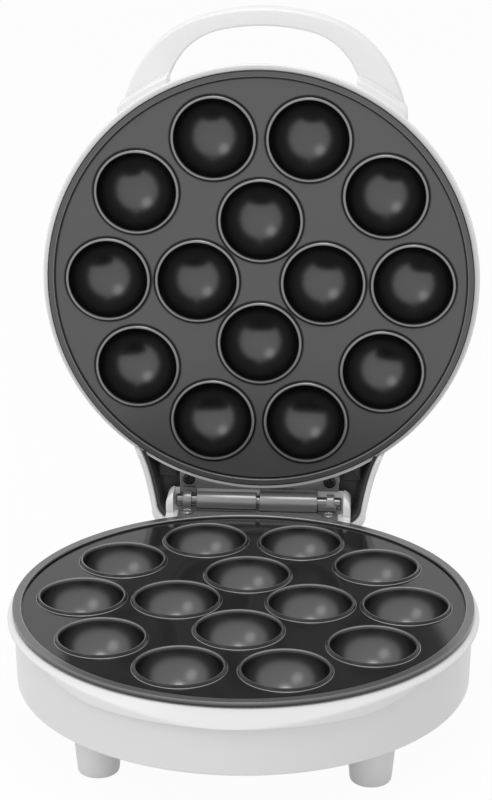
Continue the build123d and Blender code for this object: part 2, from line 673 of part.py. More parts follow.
base_nodes = dict(
    base_housing=base_housing,
    bottom_cover=bottom_cover,
    cover_screws=cover_screws,
    feet=feet,
    foot_pads=foot_pads,
    foot_screws=foot_screws,
    lower_plate=lower_plate,
    lower_heater=lower_heater,
    lower_standoffs=lower_standoffs,
    lower_reflector=lower_reflector,
    lower_thermostat=lower_thermostat,
    lower_plate_screws=lower_plate_screws,
    terminal_block=terminal_block,
    base_leads=base_leads,
    cord_gland=cord_gland,
    base_hinge_leaf=base_hinge_leaf,
    base_leaf_screws=base_leaf_screws,
    hinge_pin=hinge_pin,
)
lid_nodes = dict(
    lid_housing=lid_housing,
    handle=handle,
    handle_screws=handle_screws,
    lid_liner=lid_liner,
    upper_plate=upper_plate,
    upper_heater=upper_heater,
    upper_standoffs=upper_standoffs,
    upper_reflector=upper_reflector,
    upper_thermal_fuse=upper_thermal_fuse,
    upper_plate_screws=upper_plate_screws,
    lid_clips=lid_clips,
    lamp_lenses=lamp_lenses,
    lamps=lamps,
    lid_terminal=lid_terminal,
    lid_leads=lid_leads,
    lid_hinge_leaf=lid_hinge_leaf,
    lid_leaf_screws=lid_leaf_screws,
)

hinge_line = Axis((0, HINGE_Y, HINGE_Z), (1, 0, 0))
in_place = Pos(0, PLATE_Y, SEAM_Z)
whole = []
for name, solid in base_nodes.items():
    whole.append(in_place * solid)
    export_step(whole[-1], f"parts/{name}.step")
for name, solid in lid_nodes.items():
    whole.append(in_place * solid.rotate(hinge_line, -OPEN_ANGLE))
    export_step(whole[-1], f"parts/{name}.step")
size = Compound(whole).bounding_box()
print("box", size.min, size.max)
print("hinge at", HINGE_Y + PLATE_Y, HINGE_Z + SEAM_Z)
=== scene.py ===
"""The looks of a countertop baker for bite-sized round donuts, standing open.

Each shape is worked out in millimetres in the shut drawing, about the middle of the baking plates
with the seam at height 0: X to the right, Y away from the handle, Z up. in_base and in_lid then put
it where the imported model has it, in metres.
"""

import json
import math

import bmesh
import bpy
import numpy as np
from mathutils import Matrix, Vector
from mathutils.geometry import delaunay_2d_cdt


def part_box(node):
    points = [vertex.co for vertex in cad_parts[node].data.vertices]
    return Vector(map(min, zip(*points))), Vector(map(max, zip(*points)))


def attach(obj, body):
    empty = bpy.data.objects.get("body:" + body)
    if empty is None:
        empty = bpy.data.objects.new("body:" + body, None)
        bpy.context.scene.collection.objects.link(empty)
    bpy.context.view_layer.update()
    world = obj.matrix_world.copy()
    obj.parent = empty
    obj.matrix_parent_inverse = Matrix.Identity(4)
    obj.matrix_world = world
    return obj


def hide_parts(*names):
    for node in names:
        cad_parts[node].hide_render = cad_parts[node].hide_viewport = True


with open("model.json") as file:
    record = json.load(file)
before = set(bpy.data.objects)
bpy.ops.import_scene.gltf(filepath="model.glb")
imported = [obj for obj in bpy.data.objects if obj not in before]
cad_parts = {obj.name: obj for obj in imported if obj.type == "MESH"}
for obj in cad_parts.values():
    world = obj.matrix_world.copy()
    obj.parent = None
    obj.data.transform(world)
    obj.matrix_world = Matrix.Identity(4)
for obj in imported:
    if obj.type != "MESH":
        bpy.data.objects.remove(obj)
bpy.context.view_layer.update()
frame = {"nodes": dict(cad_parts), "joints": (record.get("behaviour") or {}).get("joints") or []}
nodes = frame["nodes"]

# The view: the camera stands in front, a little to the right and above, with a long lens. Its place
# and turn were fitted to the photograph's twenty-eight bowls, its plate edges and its feet.
CAMERA_PLACE = (0.06765, -1.03832, 0.51241)
CAMERA_AZIMUTH = math.radians(3.765)
CAMERA_DROP = math.radians(19.677)
CAMERA_ROLL = math.radians(0.124)
LENS_MM = 114.24
back = Vector((math.sin(CAMERA_AZIMUTH) * math.cos(CAMERA_DROP),
               -math.cos(CAMERA_AZIMUTH) * math.cos(CAMERA_DROP), math.sin(CAMERA_DROP)))
level = Vector((math.cos(CAMERA_AZIMUTH), math.sin(CAMERA_AZIMUTH), 0))
upright = back.cross(level)
right = level * math.cos(CAMERA_ROLL) + upright * math.sin(CAMERA_ROLL)
above = upright * math.cos(CAMERA_ROLL) - level * math.sin(CAMERA_ROLL)
camera = bpy.data.objects.new("camera", bpy.data.cameras.new("camera"))
bpy.context.scene.collection.objects.link(camera)
camera.matrix_world = Matrix((right, above, back)).transposed().to_4x4()
camera.location = CAMERA_PLACE
camera.data.lens = LENS_MM
camera.data.clip_end = 100
bpy.context.scene.camera = camera
bpy.context.scene.view_settings.view_transform = "Standard"

# The room: a white studio. Seen straight on, in a gloss or through glass it is plain white. The light
# it gives the object is softer, and a lamp above and soft light from the left and the front add the rest.
SKY_LIGHT = 0.55
WHITE = (1, 1, 1, 1)


def feed(tree, socket, side):
    """Gives a socket a constant, or links another socket to it."""
    if isinstance(side, bpy.types.NodeSocket):
        tree.links.new(side, socket)
    else:
        socket.default_value = side


def worked_out(tree, operation, *sides):
    """What a math node makes of its sides, each a constant or a socket."""
    node = tree.nodes.new("ShaderNodeMath")
    node.operation = operation
    for socket, side in zip(node.inputs, sides):
        feed(tree, socket, side)
    return node.outputs[0]


def seen_by(tree, first, *others):
    """A mask that is 1 for the named kinds of ray: the largest of Light Path's values."""
    rays = tree.nodes.new("ShaderNodeLightPath").outputs
    mask = rays[first]
    for other in others:
        mask = worked_out(tree, "MAXIMUM", mask, rays[other])
    return mask


def choose_by(tree, mask, plain, shown, output):
    """Mixes two shaders by a mask into the tree's output."""
    choose = tree.nodes.new("ShaderNodeMixShader")
    for socket, side in zip(choose.inputs, (mask, plain.outputs[0], shown.outputs[0])):
        feed(tree, socket, side)
    tree.links.new(choose.outputs[0], tree.nodes[output].inputs["Surface"])


world = bpy.data.worlds.new("studio")
bpy.context.scene.world = world
world.use_nodes = True
tree = world.node_tree
sky = tree.nodes["Background"]
white = tree.nodes.new("ShaderNodeBackground")
for background, strength in ((sky, SKY_LIGHT), (white, 1.0)):
    background.inputs["Color"].default_value = WHITE
    background.inputs["Strength"].default_value = strength
seen = seen_by(tree, "Is Camera Ray", "Is Glossy Ray", "Is Transmission Ray")
choose_by(tree, seen, sky, white, "World Output")

# Each lamp: place, width across, power in watts, and whether a gloss shows it
LAMP_TARGET = Vector((0.0, 0.0, 0.12))
LAMPS = {
    "top_lamp": ((0.02, -0.14, 1.5), 0.6, 4.5, True),
    "left_lamp": ((-0.66, -0.80, 1.09), 0.7, 1.5, True),
    "left_softbox": ((-2.0, -0.9, 0.9), 1.2, 6.0, False),
    "front_softbox": ((0.3, -2.2, 1.0), 1.4, 7.5, False),
    "high_softbox": ((-0.1, -0.9, 2.0), 1.2, 8.0, False),
}
for name, (place, width, power, in_gloss) in LAMPS.items():
    lamp = bpy.data.lights.new(name, "AREA")
    lamp.shape = "DISK"
    lamp.size = width
    lamp.energy = power
    holder = bpy.data.objects.new(name, lamp)
    bpy.context.scene.collection.objects.link(holder)
    holder.location = place
    holder.rotation_euler = (LAMP_TARGET - Vector(place)).to_track_quat("-Z", "Y").to_euler()
    holder.visible_glossy = in_gloss

# The table: a pale floor that goes on past the picture's edges. Most of what the camera sees of it
# is plain white, so that only a faint shadow lies under the feet.
TABLE_HALF = 12.0
TABLE_LOOKS = {"Base Color": (0.7, 0.7, 0.7, 1), "Roughness": 0.9, "Specular IOR Level": 0.1}
TABLE_GLOW = 0.96
table = bpy.data.objects.new("table", bpy.data.meshes.new("table"))
corners = [(TABLE_HALF * x, TABLE_HALF * y, 0) for x, y in ((-1, -1), (1, -1), (1, 1), (-1, 1))]
table.data.from_pydata(corners, [], [(0, 1, 2, 3)])
bpy.context.scene.collection.objects.link(table)
paper = bpy.data.materials.new("paper_floor")
paper.use_nodes = True
tree = paper.node_tree
surface = tree.nodes["Principled BSDF"]
for name, value in TABLE_LOOKS.items():
    surface.inputs[name].default_value = value
glow = tree.nodes.new("ShaderNodeEmission")
glow.inputs["Color"].default_value = WHITE
seen = worked_out(tree, "MULTIPLY", seen_by(tree, "Is Camera Ray", "Is Glossy Ray"), TABLE_GLOW)
choose_by(tree, seen, surface, glow, "Material Output")
table.data.materials.append(paper)

# The lower baking plate: an aluminium casting with a glossy dark non-stick coat. Ten bowls stand in
# a ring round an inner four, each with a raised lip level with the plate's own rim. It drops into
# the drum by its spigot and is held from below through four pillars.
PLATE_LOW, PLATE_HIGH = (np.array(corner) * 1000 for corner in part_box("lower_plate"))
SEAM_GAP = 0.2
PLATE_R = (PLATE_HIGH[0] - PLATE_LOW[0]) / 2
PLATE_MIDDLE = np.array([(PLATE_LOW[0] + PLATE_HIGH[0]) / 2, (PLATE_LOW[1] + PLATE_HIGH[1]) / 2,
                         PLATE_HIGH[2] + SEAM_GAP])
RIM_WIDTH = 3.1
RIM_OVERHANG = 0.8
RIM_HEIGHT = 1.2
RIM_THICK = 2.0
# RIM_BAND: the width at each edge of the rim's crown over which the painted highlight fades out
RIM_BAND = 0.8
GROOVE_WIDTH = 0.55
DRAFT = 0.1
PLATE_SHEET = 2.8
SPIGOT_R = 98.0
BOWL_R = 18.4
BOWL_WALL = 2.4
BOWL_RINGS = ((71.0, 10), (29.3, 4))
BOWL_LIP = 1.0
LIP_FOOT = 1.6
LIP_RING = 0.3
LIP_STEP = 0.35
MOUTH_ANGLE = 6
EDGE_SOFTNESS = 0.4
PILLAR_R = 4.0
PILLAR_HOLE_R = 1.6
PILLAR_RING_R = 86.0
PILLAR_ANGLES = (54, 126, 234, 306)
PILLAR_FOOT = -21.6
PILLAR_ROOF = 4.0
PILLAR_SKIN = 0.4
SKIN = 1.0
CORNER_STEPS = 4
BOWL_ROWS = 22
BACK_ROWS = 9
BOWL_STEPS = 84
PLATE_STEPS = 256
POST_STEPS = 32
SIDE_SHARE = 0.48
CUT_INSIDE = 1
SAME_PLACE = 1e-7
JUST_UNDER = 0.999
SHARP_DEGREES = 35


def chains(corners):
    """A chain of corners as an array. Where values are arrays, there is a chain for each of their entries."""
    values = np.broadcast_arrays(*[value for corner in corners for value in corner])
    return np.stack(values, axis=-1).reshape(*values[0].shape, len(corners), -1).astype(float)


def soft_corners(corners, steps=5):
    """Rounds a chain of corners (a, b, softness). A corner gives way to a short parabola that starts and
    ends its softness away along its two sides, or nearer where a side is short."""
    corners = chains(corners)
    corners, reach = corners[..., :2], corners[..., 1:-1, 2:]
    middle = corners[..., 1:-1, :]
    before, after = corners[..., :-2, :] - middle, corners[..., 2:, :] - middle
    before_length = np.linalg.norm(before, axis=-1, keepdims=True) + 1e-9
    after_length = np.linalg.norm(after, axis=-1, keepdims=True) + 1e-9
    start = middle + before / before_length * np.minimum(reach, SIDE_SHARE * before_length)
    end = middle + after / after_length * np.minimum(reach, SIDE_SHARE * after_length)
    t = np.linspace(0, 1, steps)[:, None]
    arcs = ((1 - t) ** 2 * start[..., None, :] + 2 * t * (1 - t) * middle[..., None, :]
            + t ** 2 * end[..., None, :])
    arcs = arcs.reshape(*arcs.shape[:-3], -1, 2)
    return np.concatenate([corners[..., :1, :], arcs, corners[..., -1:, :]], axis=-2)


def points_at(*values):
    """Points from their coordinates, each a number or an array, spread to one grid."""
    return np.stack(np.broadcast_arrays(*values), axis=-1)


def turned(profile, steps, middle=(0.0, 0.0)):
    """A profile of (radius, height) points carried round an upright axis: x = r cos a, y = r sin a.
    A profile for each angle makes a shape that changes as it goes round."""
    angle = np.linspace(0, 2 * np.pi, steps, endpoint=False)[:, None]
    profile = np.asarray(profile, float)
    radius = profile[..., 0]
    return points_at(middle[0] + radius * np.cos(angle), middle[1] + radius * np.sin(angle), profile[..., 1])


def patch(grid, closed_rows=True, closed_columns=False):
    """A grid of points with its quads; a closed side joins its last line to its first."""
    rows, columns = grid.shape[:2]
    i = np.arange(rows if closed_rows else rows - 1)[:, None]
    j = np.arange(columns if closed_columns else columns - 1)[None, :]
    i_next, j_next = (i + 1) % rows, (j + 1) % columns
    quads = np.stack([i * columns + j, i_next * columns + j, i_next * columns + j_next,
                      i * columns + j_next], axis=-1)
    return grid, quads.reshape(-1, 4)


def area_patch(outline, holes, height, axes=(0, 1, 2)):
    """The level area inside a closed outline and outside round holes, cut into triangles. The axes
    say where the outline's two values and the height go."""
    loops = [outline, *holes]
    corners, edges, start = [], [], 0
    for loop in loops:
        corners += [Vector((float(a), float(b))) for a, b in loop]
        edges += [(start + k, start + (k + 1) % len(loop)) for k in range(len(loop))]
        start += len(loop)
    found, _, faces, *_ = delaunay_2d_cdt(corners, edges, [], CUT_INSIDE, SAME_PLACE)
    found = np.array([(p.x, p.y) for p in found])
    middles = np.array([found[list(face)].mean(axis=0) for face in faces])
    kept = np.ones(len(faces), bool)
    for hole in holes:
        centre = hole.mean(axis=0)
        kept &= np.linalg.norm(middles - centre, axis=1) > np.linalg.norm(hole[0] - centre) * JUST_UNDER
    area = np.empty((len(found), 3))
    area[:, axes[0]], area[:, axes[1]], area[:, axes[2]] = found[:, 0], found[:, 1], height
    return area, [face for face, keep in zip(faces, kept) if keep]


def turned_at(places, profile, steps):
    """A patch of the same turned profile at each place."""
    return [patch(turned(profile, steps, place)) for place in places]


def lid_over(loop):
    """One face over a closed loop of points."""
    return np.asarray(loop), [tuple(range(len(loop)))]


def in_base(points):
    """From the shut drawing to its place in the base, in metres."""
    return (np.asarray(points, float) + PLATE_MIDDLE) / 1000


WELD = 2e-6
NO_LENGTH = 1e-7


def make_piece(name, patches, body, place, material, replaced):
    """Joins patches, each (points, faces) or (points, faces, marks), to one mesh, welds what meets, turns
    every face outwards, lets the piece ride on a body, gives it its material and hides the frame's parts it
    replaces."""
    points, faces, marks, offset = [], [], [], 0
    for patch_points, patch_faces, *patch_marks in patches:
        flat = np.asarray(patch_points, float).reshape(-1, 3)
        points.append(place(flat))
        marks.append(np.reshape(patch_marks[0], (-1, 3)) if patch_marks else np.zeros((len(flat), 3)))
        faces += [tuple(int(k) + offset for k in face) for face in patch_faces]
        offset += len(flat)
    mesh = bpy.data.meshes.new(name)
    mesh.from_pydata(np.concatenate(points).tolist(), [], faces)
    if any(np.any(part) for part in marks):
        stored = mesh.attributes.new("marks", "FLOAT_VECTOR", "POINT")
        stored.data.foreach_set("vector", np.concatenate(marks).ravel())
    work = bmesh.new()
    work.from_mesh(mesh)
    bmesh.ops.remove_doubles(work, verts=work.verts, dist=WELD)
    bmesh.ops.dissolve_degenerate(work, edges=work.edges, dist=NO_LENGTH)
    bmesh.ops.recalc_face_normals(work, faces=work.faces)
    work.to_mesh(mesh)
    work.free()
    mesh.shade_smooth()
    mesh.set_sharp_from_angle(angle=math.radians(SHARP_DEGREES))
    mesh.materials.append(material)
    piece = bpy.data.objects.new(name, mesh)
    bpy.context.scene.collection.objects.link(piece)
    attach(piece, body)
    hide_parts(*replaced)
    return piece


def ring_places(radius, angles):
    """Places on a circle about the plate's middle, at angles in degrees."""
    angles = np.radians(angles)
    return np.column_stack([radius * np.cos(angles), radius * np.sin(angles)])


def circle(radius, steps, middle=(0.0, 0.0)):
    """Even points on a circle, at the same angles as a turned surface has them."""
    return turned([(radius, 0)], steps, middle)[:, 0, :2]


BOWL_PLACES = np.concatenate([ring_places(r, 360 / count * np.arange(count)) for r, count in BOWL_RINGS])
PILLAR_PLACES = ring_places(PILLAR_RING_R, PILLAR_ANGLES)

# Marks tell the coat what lies where: a painted highlight on edges, painted shade in grooves and corners, and
# the bowls
# The first value is the share of painted highlight, the second the share of painted shade, the third the bowl
PLAIN, PAINTED_HIGHLIGHT, PAINTED_SHADE, BOWL = (0, 0, 0), (1, 0, 0), (0, 1, 0), (0, 0, 1)
FAINT_PAINTED_HIGHLIGHT = (0.4, 0, 0)


def marked(grid, marks):
    """A turned patch with a mark for each point of its profile."""
    return *patch(grid), np.broadcast_to(np.asarray(marks, float), grid.shape)


def cast_plate(plate_r, overhang, rim_marks, lip_marks):
    """Patches of one plate with its bowls down: a turned rim and spigot, a turned lip and hemisphere at
    each bowl, the bowl's outside one wall larger, turned pillars, and two level sheets. The rim marks,
    painted highlight or painted shade, are for its inner edge, crown, outer edge and underside. The lip
    marks, from outside in, are for a ring of floor, foot, wall, shoulder, crown and inner edge. Hemispheres
    are marked as bowls."""
    rim_top = -SEAM_GAP
    floor = rim_top - RIM_HEIGHT
    under = floor - PLATE_SHEET
    groove_r, outer_r = plate_r - RIM_WIDTH, plate_r + overhang
    rim = soft_corners([
        (groove_r - SKIN, floor, 0), (groove_r - GROOVE_WIDTH, floor, 0.1), (groove_r - DRAFT, floor, 0.15),
        (groove_r, rim_top, EDGE_SOFTNESS), (groove_r + RIM_BAND, rim_top, 0.2),
        (outer_r - RIM_BAND, rim_top, 0.2), (outer_r, rim_top, EDGE_SOFTNESS),
        (outer_r, rim_top - RIM_THICK, 0.3), (SPIGOT_R, rim_top - RIM_THICK, 0.2),
        (SPIGOT_R, under, 0.4), (SPIGOT_R - 2 * SKIN, under, 0)], CORNER_STEPS)
    inner, crown, outer, beneath = rim_marks
    # The groove inside the rim and the corner by the spigot always get painted shade; the rim's edges and
    # crown get the caller's marks
    along_rim = [PAINTED_SHADE, PAINTED_SHADE, inner, crown, crown, outer, beneath, PAINTED_SHADE, PLAIN]
    along_rim = [PLAIN, *np.repeat(along_rim, CORNER_STEPS, axis=0), PLAIN]
    depth = np.radians(np.linspace(MOUTH_ANGLE, 90, BOWL_ROWS))
    inside = BOWL_R * np.column_stack([np.cos(depth), -np.sin(depth)])
    lip_r, foot_r, roof = BOWL_R + BOWL_LIP, BOWL_R + LIP_FOOT, under - PILLAR_ROOF
    lip = soft_corners([
        (foot_r + SKIN, floor, 0), (foot_r + LIP_RING, floor, 0.1), (foot_r, floor, 0.15),
        (foot_r - DRAFT, floor + LIP_STEP, 0.1), (lip_r, rim_top, 0.3), ((lip_r + BOWL_R) / 2, rim_top, 0.15),
        (BOWL_R, rim_top, 0.5), (*inside[0], 0)], CORNER_STEPS)
    bowl = np.concatenate([lip, inside[1:]])
    bowl_marks = [PLAIN, *np.repeat(lip_marks, CORNER_STEPS, axis=0), *np.repeat([BOWL], BOWL_ROWS, axis=0)]
    back_r = BOWL_R + BOWL_WALL
    depth = np.linspace(math.asin(-under / back_r), np.pi / 2, BACK_ROWS)
    outside = back_r * np.column_stack([np.cos(depth), -np.sin(depth)])
    outside = np.concatenate([[(outside[0][0] + SKIN, under)], outside])
    patches = [marked(turned(rim, PLATE_STEPS), along_rim)]
    for middle in BOWL_PLACES:
        patches += [marked(turned(bowl, BOWL_STEPS, middle), bowl_marks),
                    patch(turned(outside, BOWL_STEPS, middle))]
    pillar = soft_corners([
        (PILLAR_R + PILLAR_SKIN, under, 0), (PILLAR_R, under, 0.3), (PILLAR_R, PILLAR_FOOT, 0.3),
        (PILLAR_HOLE_R, PILLAR_FOOT, 0.1), (PILLAR_HOLE_R, roof, 0), (0, roof, 0)])
    patches += turned_at(PILLAR_PLACES, pillar, POST_STEPS)
    mouths = [circle(foot_r + SKIN, BOWL_STEPS, middle) for middle in BOWL_PLACES]
    backs = [circle(outside[0][0], BOWL_STEPS, middle) for middle in BOWL_PLACES]
    backs += [circle(PILLAR_R + PILLAR_SKIN, POST_STEPS, middle) for middle in PILLAR_PLACES]
    return patches + [area_patch(circle(groove_r - SKIN, PLATE_STEPS), mouths, floor),
                      area_patch(circle(SPIGOT_R - 2 * SKIN, PLATE_STEPS), backs, under)]


FINE_DETAIL = 3.0
SLOW_SCALE, SLOW_DETAIL = 14.0, 2.0


def grain_group(name, stretch):
    """A shader group for the skin of a surface. Noise of the given scale, drawn out along the object's
    axes by the stretch, gives a height, and a roughness that swings about its middle by the spread.
    Slow noise makes the colour lighter and darker by the drift."""
    group = bpy.data.node_groups.new(name, "ShaderNodeTree")
    for way, sockets in (("INPUT", ("Colour", "Scale", "Middle", "Spread", "Drift")),
                         ("OUTPUT", ("Colour", "Roughness", "Height"))):
        for socket in sockets:
            kind = "NodeSocketColor" if socket == "Colour" else "NodeSocketFloat"
            group.interface.new_socket(name=socket, in_out=way, socket_type=kind)
    taken = group.nodes.new("NodeGroupInput").outputs
    given = group.nodes.new("NodeGroupOutput").inputs
    place = group.nodes.new("ShaderNodeTexCoord").outputs["Object"]
    drawn = group.nodes.new("ShaderNodeMapping")
    fine = group.nodes.new("ShaderNodeTexNoise")
    slow = group.nodes.new("ShaderNodeTexNoise")
    shade = group.nodes.new("ShaderNodeVectorMath")
    shade.operation = "SCALE"
    swing = worked_out(group, "SUBTRACT", fine.outputs["Fac"], 0.5)
    drift = worked_out(group, "SUBTRACT", slow.outputs["Fac"], 0.5)
    for socket, side in (
            (drawn.inputs["Scale"], stretch), (drawn.inputs["Vector"], place),
            (fine.inputs["Vector"], drawn.outputs["Vector"]), (fine.inputs["Scale"], taken["Scale"]),
            (fine.inputs["Detail"], FINE_DETAIL), (slow.inputs["Vector"], place),
            (slow.inputs["Scale"], SLOW_SCALE), (slow.inputs["Detail"], SLOW_DETAIL),
            (shade.inputs[0], taken["Colour"]),
            (shade.inputs["Scale"], worked_out(group, "MULTIPLY_ADD", drift, taken["Drift"], 1.0)),
            (given["Colour"], shade.outputs[0]), (given["Height"], fine.outputs["Fac"]),
            (given["Roughness"], worked_out(group, "MULTIPLY_ADD", swing, taken["Spread"], taken["Middle"]))):
        feed(group, socket, side)
    return group


EVEN_GRAIN = grain_group("even_grain", (1, 1, 1))
DRAWN_GRAIN = grain_group("drawn_grain", (0.04, 1, 1))


def finish(name, colour, middle, spread, scale, depth, drift=0.06, group=EVEN_GRAIN, **constants):
    """A Principled material whose colour, roughness and height come from a grain group. The roughness
    has a middle and a spread, the grain has a scale and a depth in metres, the colour drifts, and the
    constants go on the shader's own sockets."""
    material = bpy.data.materials.new(name)
    material.use_nodes = True
    tree = material.node_tree
    shader = tree.nodes["Principled BSDF"]
    grain = tree.nodes.new("ShaderNodeGroup")
    grain.node_tree = group
    bump = tree.nodes.new("ShaderNodeBump")
    for node, socket, side in (
            (grain, "Colour", (*colour, 1)), (grain, "Scale", scale), (grain, "Middle", middle),
            (grain, "Spread", spread), (grain, "Drift", drift), (bump, "Strength", 1.0),
            (bump, "Distance", depth), (bump, "Height", grain.outputs["Height"]),
            (shader, "Base Color", grain.outputs["Colour"]),
            (shader, "Roughness", grain.outputs["Roughness"]), (shader, "Normal", bump.outputs["Normal"])):
        feed(tree, node.inputs[socket], side)
    for socket, value in constants.items():
        shader.inputs[socket.replace("_", " ")].default_value = value
    return material


def mixed(tree, kind, mask, low, high):
    """A mix of two values or colours by a mask; each side is a constant or a socket."""
    node = tree.nodes.new("ShaderNodeMix")
    node.data_type = kind
    first, outcome = {"FLOAT": (2, 0), "RGBA": (6, 2)}[kind]
    for k, side in ((0, mask), (first, low), (first + 1, high)):
        feed(tree, node.inputs[k], side)
    return node.outputs[outcome]


# The near black of the painted shade in grooves, and how metallic the painted highlight on edges is
PAINTED_SHADE_COLOUR = (0.004, 0.004, 0.004, 1)
HIGHLIGHT_METAL = 0.8
BOWL_ROUGHNESS = 0.26


def plate_coat(name, flat, bowl, edge, flat_metal, middle, highlight_roughness, level):
    """A non-stick coat by the plate's marks. The flats have their own colour, metallic share and middle
    roughness, and bowls look more like metal. Marked edges get a painted highlight: the paler edge colour,
    more metallic and duller. Marked grooves get a painted shade of near black. The level is the coat's
    specular level."""
    material = finish(name, flat, middle, 0.04, 1500.0, 0.000003, Specular_IOR_Level=level)
    tree = material.node_tree
    shader, grain = tree.nodes["Principled BSDF"], tree.nodes["Group"]
    attribute = tree.nodes.new("ShaderNodeAttribute")
    attribute.attribute_name = "marks"
    split = tree.nodes.new("ShaderNodeSeparateXYZ")
    tree.links.new(attribute.outputs["Vector"], split.inputs[0])
    at_highlight, at_painted_shade, at_bowl = split.outputs
    # Bowls get their own colour, then marked edges a painted highlight and marked grooves a painted shade
    colour = mixed(tree, "RGBA", at_bowl, grain.outputs["Colour"], (*bowl, 1))
    colour = mixed(tree, "RGBA", at_highlight, colour, (*edge, 1))
    colour = mixed(tree, "RGBA", at_painted_shade, colour, PAINTED_SHADE_COLOUR)
    metal = mixed(tree, "FLOAT", at_bowl, flat_metal, 1.0)
    metal = mixed(tree, "FLOAT", at_highlight, metal, HIGHLIGHT_METAL)
    dull = mixed(tree, "FLOAT", at_bowl, grain.outputs["Roughness"], BOWL_ROUGHNESS)
    dull = mixed(tree, "FLOAT", at_highlight, dull, highlight_roughness)
    for socket, side in (("Base Color", colour), ("Metallic", metal), ("Roughness", dull)):
        tree.links.new(side, shader.inputs[socket])
    return material


# The edge colour is a painted highlight. On the lower plate it lies on the rim's inner edge, fainter on its
# crown and outer edge, and on each lip's foot and inner edge, faint on its crown.
gloss_coat = plate_coat("glossy_nonstick", flat=(0.022, 0.022, 0.023), bowl=(0.12, 0.12, 0.122),
                        edge=(0.34, 0.34, 0.345), flat_metal=0.0, middle=0.1, highlight_roughness=0.3, level=0.28)
make_piece("lower_baking_plate",
           cast_plate(PLATE_R, RIM_OVERHANG, (PAINTED_HIGHLIGHT, FAINT_PAINTED_HIGHLIGHT, (0.5, 0, 0), PLAIN),
                      (PLAIN, PAINTED_HIGHLIGHT, PLAIN, PLAIN, (0.3, 0, 0), PAINTED_HIGHLIGHT)),
           "base", in_base, gloss_coat, ["lower_plate"])

# The upper baking plate: the same casting a little smaller, with a satin coat. It hangs face down
# in the lid as one cartridge with its heater, so it turns up with the lid.
HINGE = frame["joints"][0]
HINGE_PLACE = np.array(HINGE["pos_m"]) * 1000
OPEN_ANGLE = math.radians(HINGE["range_deg"][1])
UPPER_PLATE_R = (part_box("upper_plate")[1][0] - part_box("upper_plate")[0][0]) * 1000 / 2


def in_lid(points):
    """From the shut drawing to the open lid, in metres: turned back about the hinge line."""
    x, y, z = np.moveaxis(np.asarray(points, float) + PLATE_MIDDLE - HINGE_PLACE, -1, 0)
    cosine, sine = math.cos(-OPEN_ANGLE), math.sin(-OPEN_ANGLE)
    return (points_at(x, y * cosine - z * sine, y * sine + z * cosine) + HINGE_PLACE) / 1000


# The edge colour is a painted highlight. On the upper plate it lies faintly on the rim's inner edge and on
# each lip's shoulder, crown and, in part, inner edge. The rim's outer edge and underside and each lip's floor
# ring, foot and wall get painted shade.
satin_coat = plate_coat("satin_nonstick", flat=(0.1, 0.1, 0.102), bowl=(0.1, 0.1, 0.102),
                        edge=(0.27, 0.27, 0.275), flat_metal=0.4, middle=0.24, highlight_roughness=0.34,
                        level=0.45)
upper_casting = cast_plate(UPPER_PLATE_R, 0.0, (FAINT_PAINTED_HIGHLIGHT, PLAIN, PAINTED_SHADE, PAINTED_SHADE),
                           (PAINTED_SHADE, PAINTED_SHADE, PAINTED_SHADE, PAINTED_HIGHLIGHT, PAINTED_HIGHLIGHT, (0.4, 0, 0.6)))
upper_casting = [(points * (1, 1, -1), *rest) for points, *rest in upper_casting]
make_piece("upper_baking_plate", upper_casting, "lid", in_lid, satin_coat, ["upper_plate"])

# The lower housing: a white drum moulded in one with its rolled lip, which is deeper in front as an
# apron under a bevel that widens to the sides, and with the hinge tower behind. Bosses inside take
# the screws of the plate and of the bottom cover.
OPENING_R = 98.6
EDGE_R = 100.4
EDGE_Z = -3.0
LIP_R = 103.0
LIP_CORNER = -4.4
LIP_BOTTOM = -5.9
DRUM_TOP_R = 100.2
DRUM_FOOT_R = 99.4
DRUM_BOTTOM = -34.0
DRUM_INSIDE_R = 97.2
COVER_TOP = -31.6
COVER_BOTTOM = -33.6
LEDGE_R = 94.2
LEDGE_TOP = -29.6
APRON_R = 101.4
APRON_Y = -2.5
APRON_BOTTOM = -11.0
APRON_HALF = 52.0
APRON_END = 77.0
APRON_LEAST = 0.4
BEVEL_HIGH_Z, BEVEL_HIGH_Y, BEVEL_HIGH_R = -1.0, -9.6, 90.0
BEVEL_LOW_Z, BEVEL_LOW_Y, BEVEL_LOW_R = -13.0, 48.1, 153.1
DRUM_STEPS = 480


def reach_of_circle(angle, middle_y, radius):
    """How far from the plate's middle a circle about (0, middle_y) lies, at angles about that middle."""
    return middle_y * np.sin(angle) + np.sqrt(radius ** 2 - (middle_y * np.cos(angle)) ** 2)


def bevel_height(angle, reach):
    """The height at which the bevel, a slanted cone between two level circles, has a given reach. With
    k from 0 at the high circle to 1 at the low one, |p - c(k)| = r(k) is a quadratic in k."""
    y_run, r_run = BEVEL_LOW_Y - BEVEL_HIGH_Y, BEVEL_LOW_R - BEVEL_HIGH_R
    across, along = reach * np.cos(angle), reach * np.sin(angle) - BEVEL_HIGH_Y
    a = r_run ** 2 - y_run ** 2
    b = 2 * BEVEL_HIGH_R * r_run + 2 * along * y_run
    c = BEVEL_HIGH_R ** 2 - across ** 2 - along ** 2
    k = (-b + np.sqrt(b ** 2 - 4 * a * c)) / (2 * a)
    return BEVEL_HIGH_Z + k * (BEVEL_LOW_Z - BEVEL_HIGH_Z)


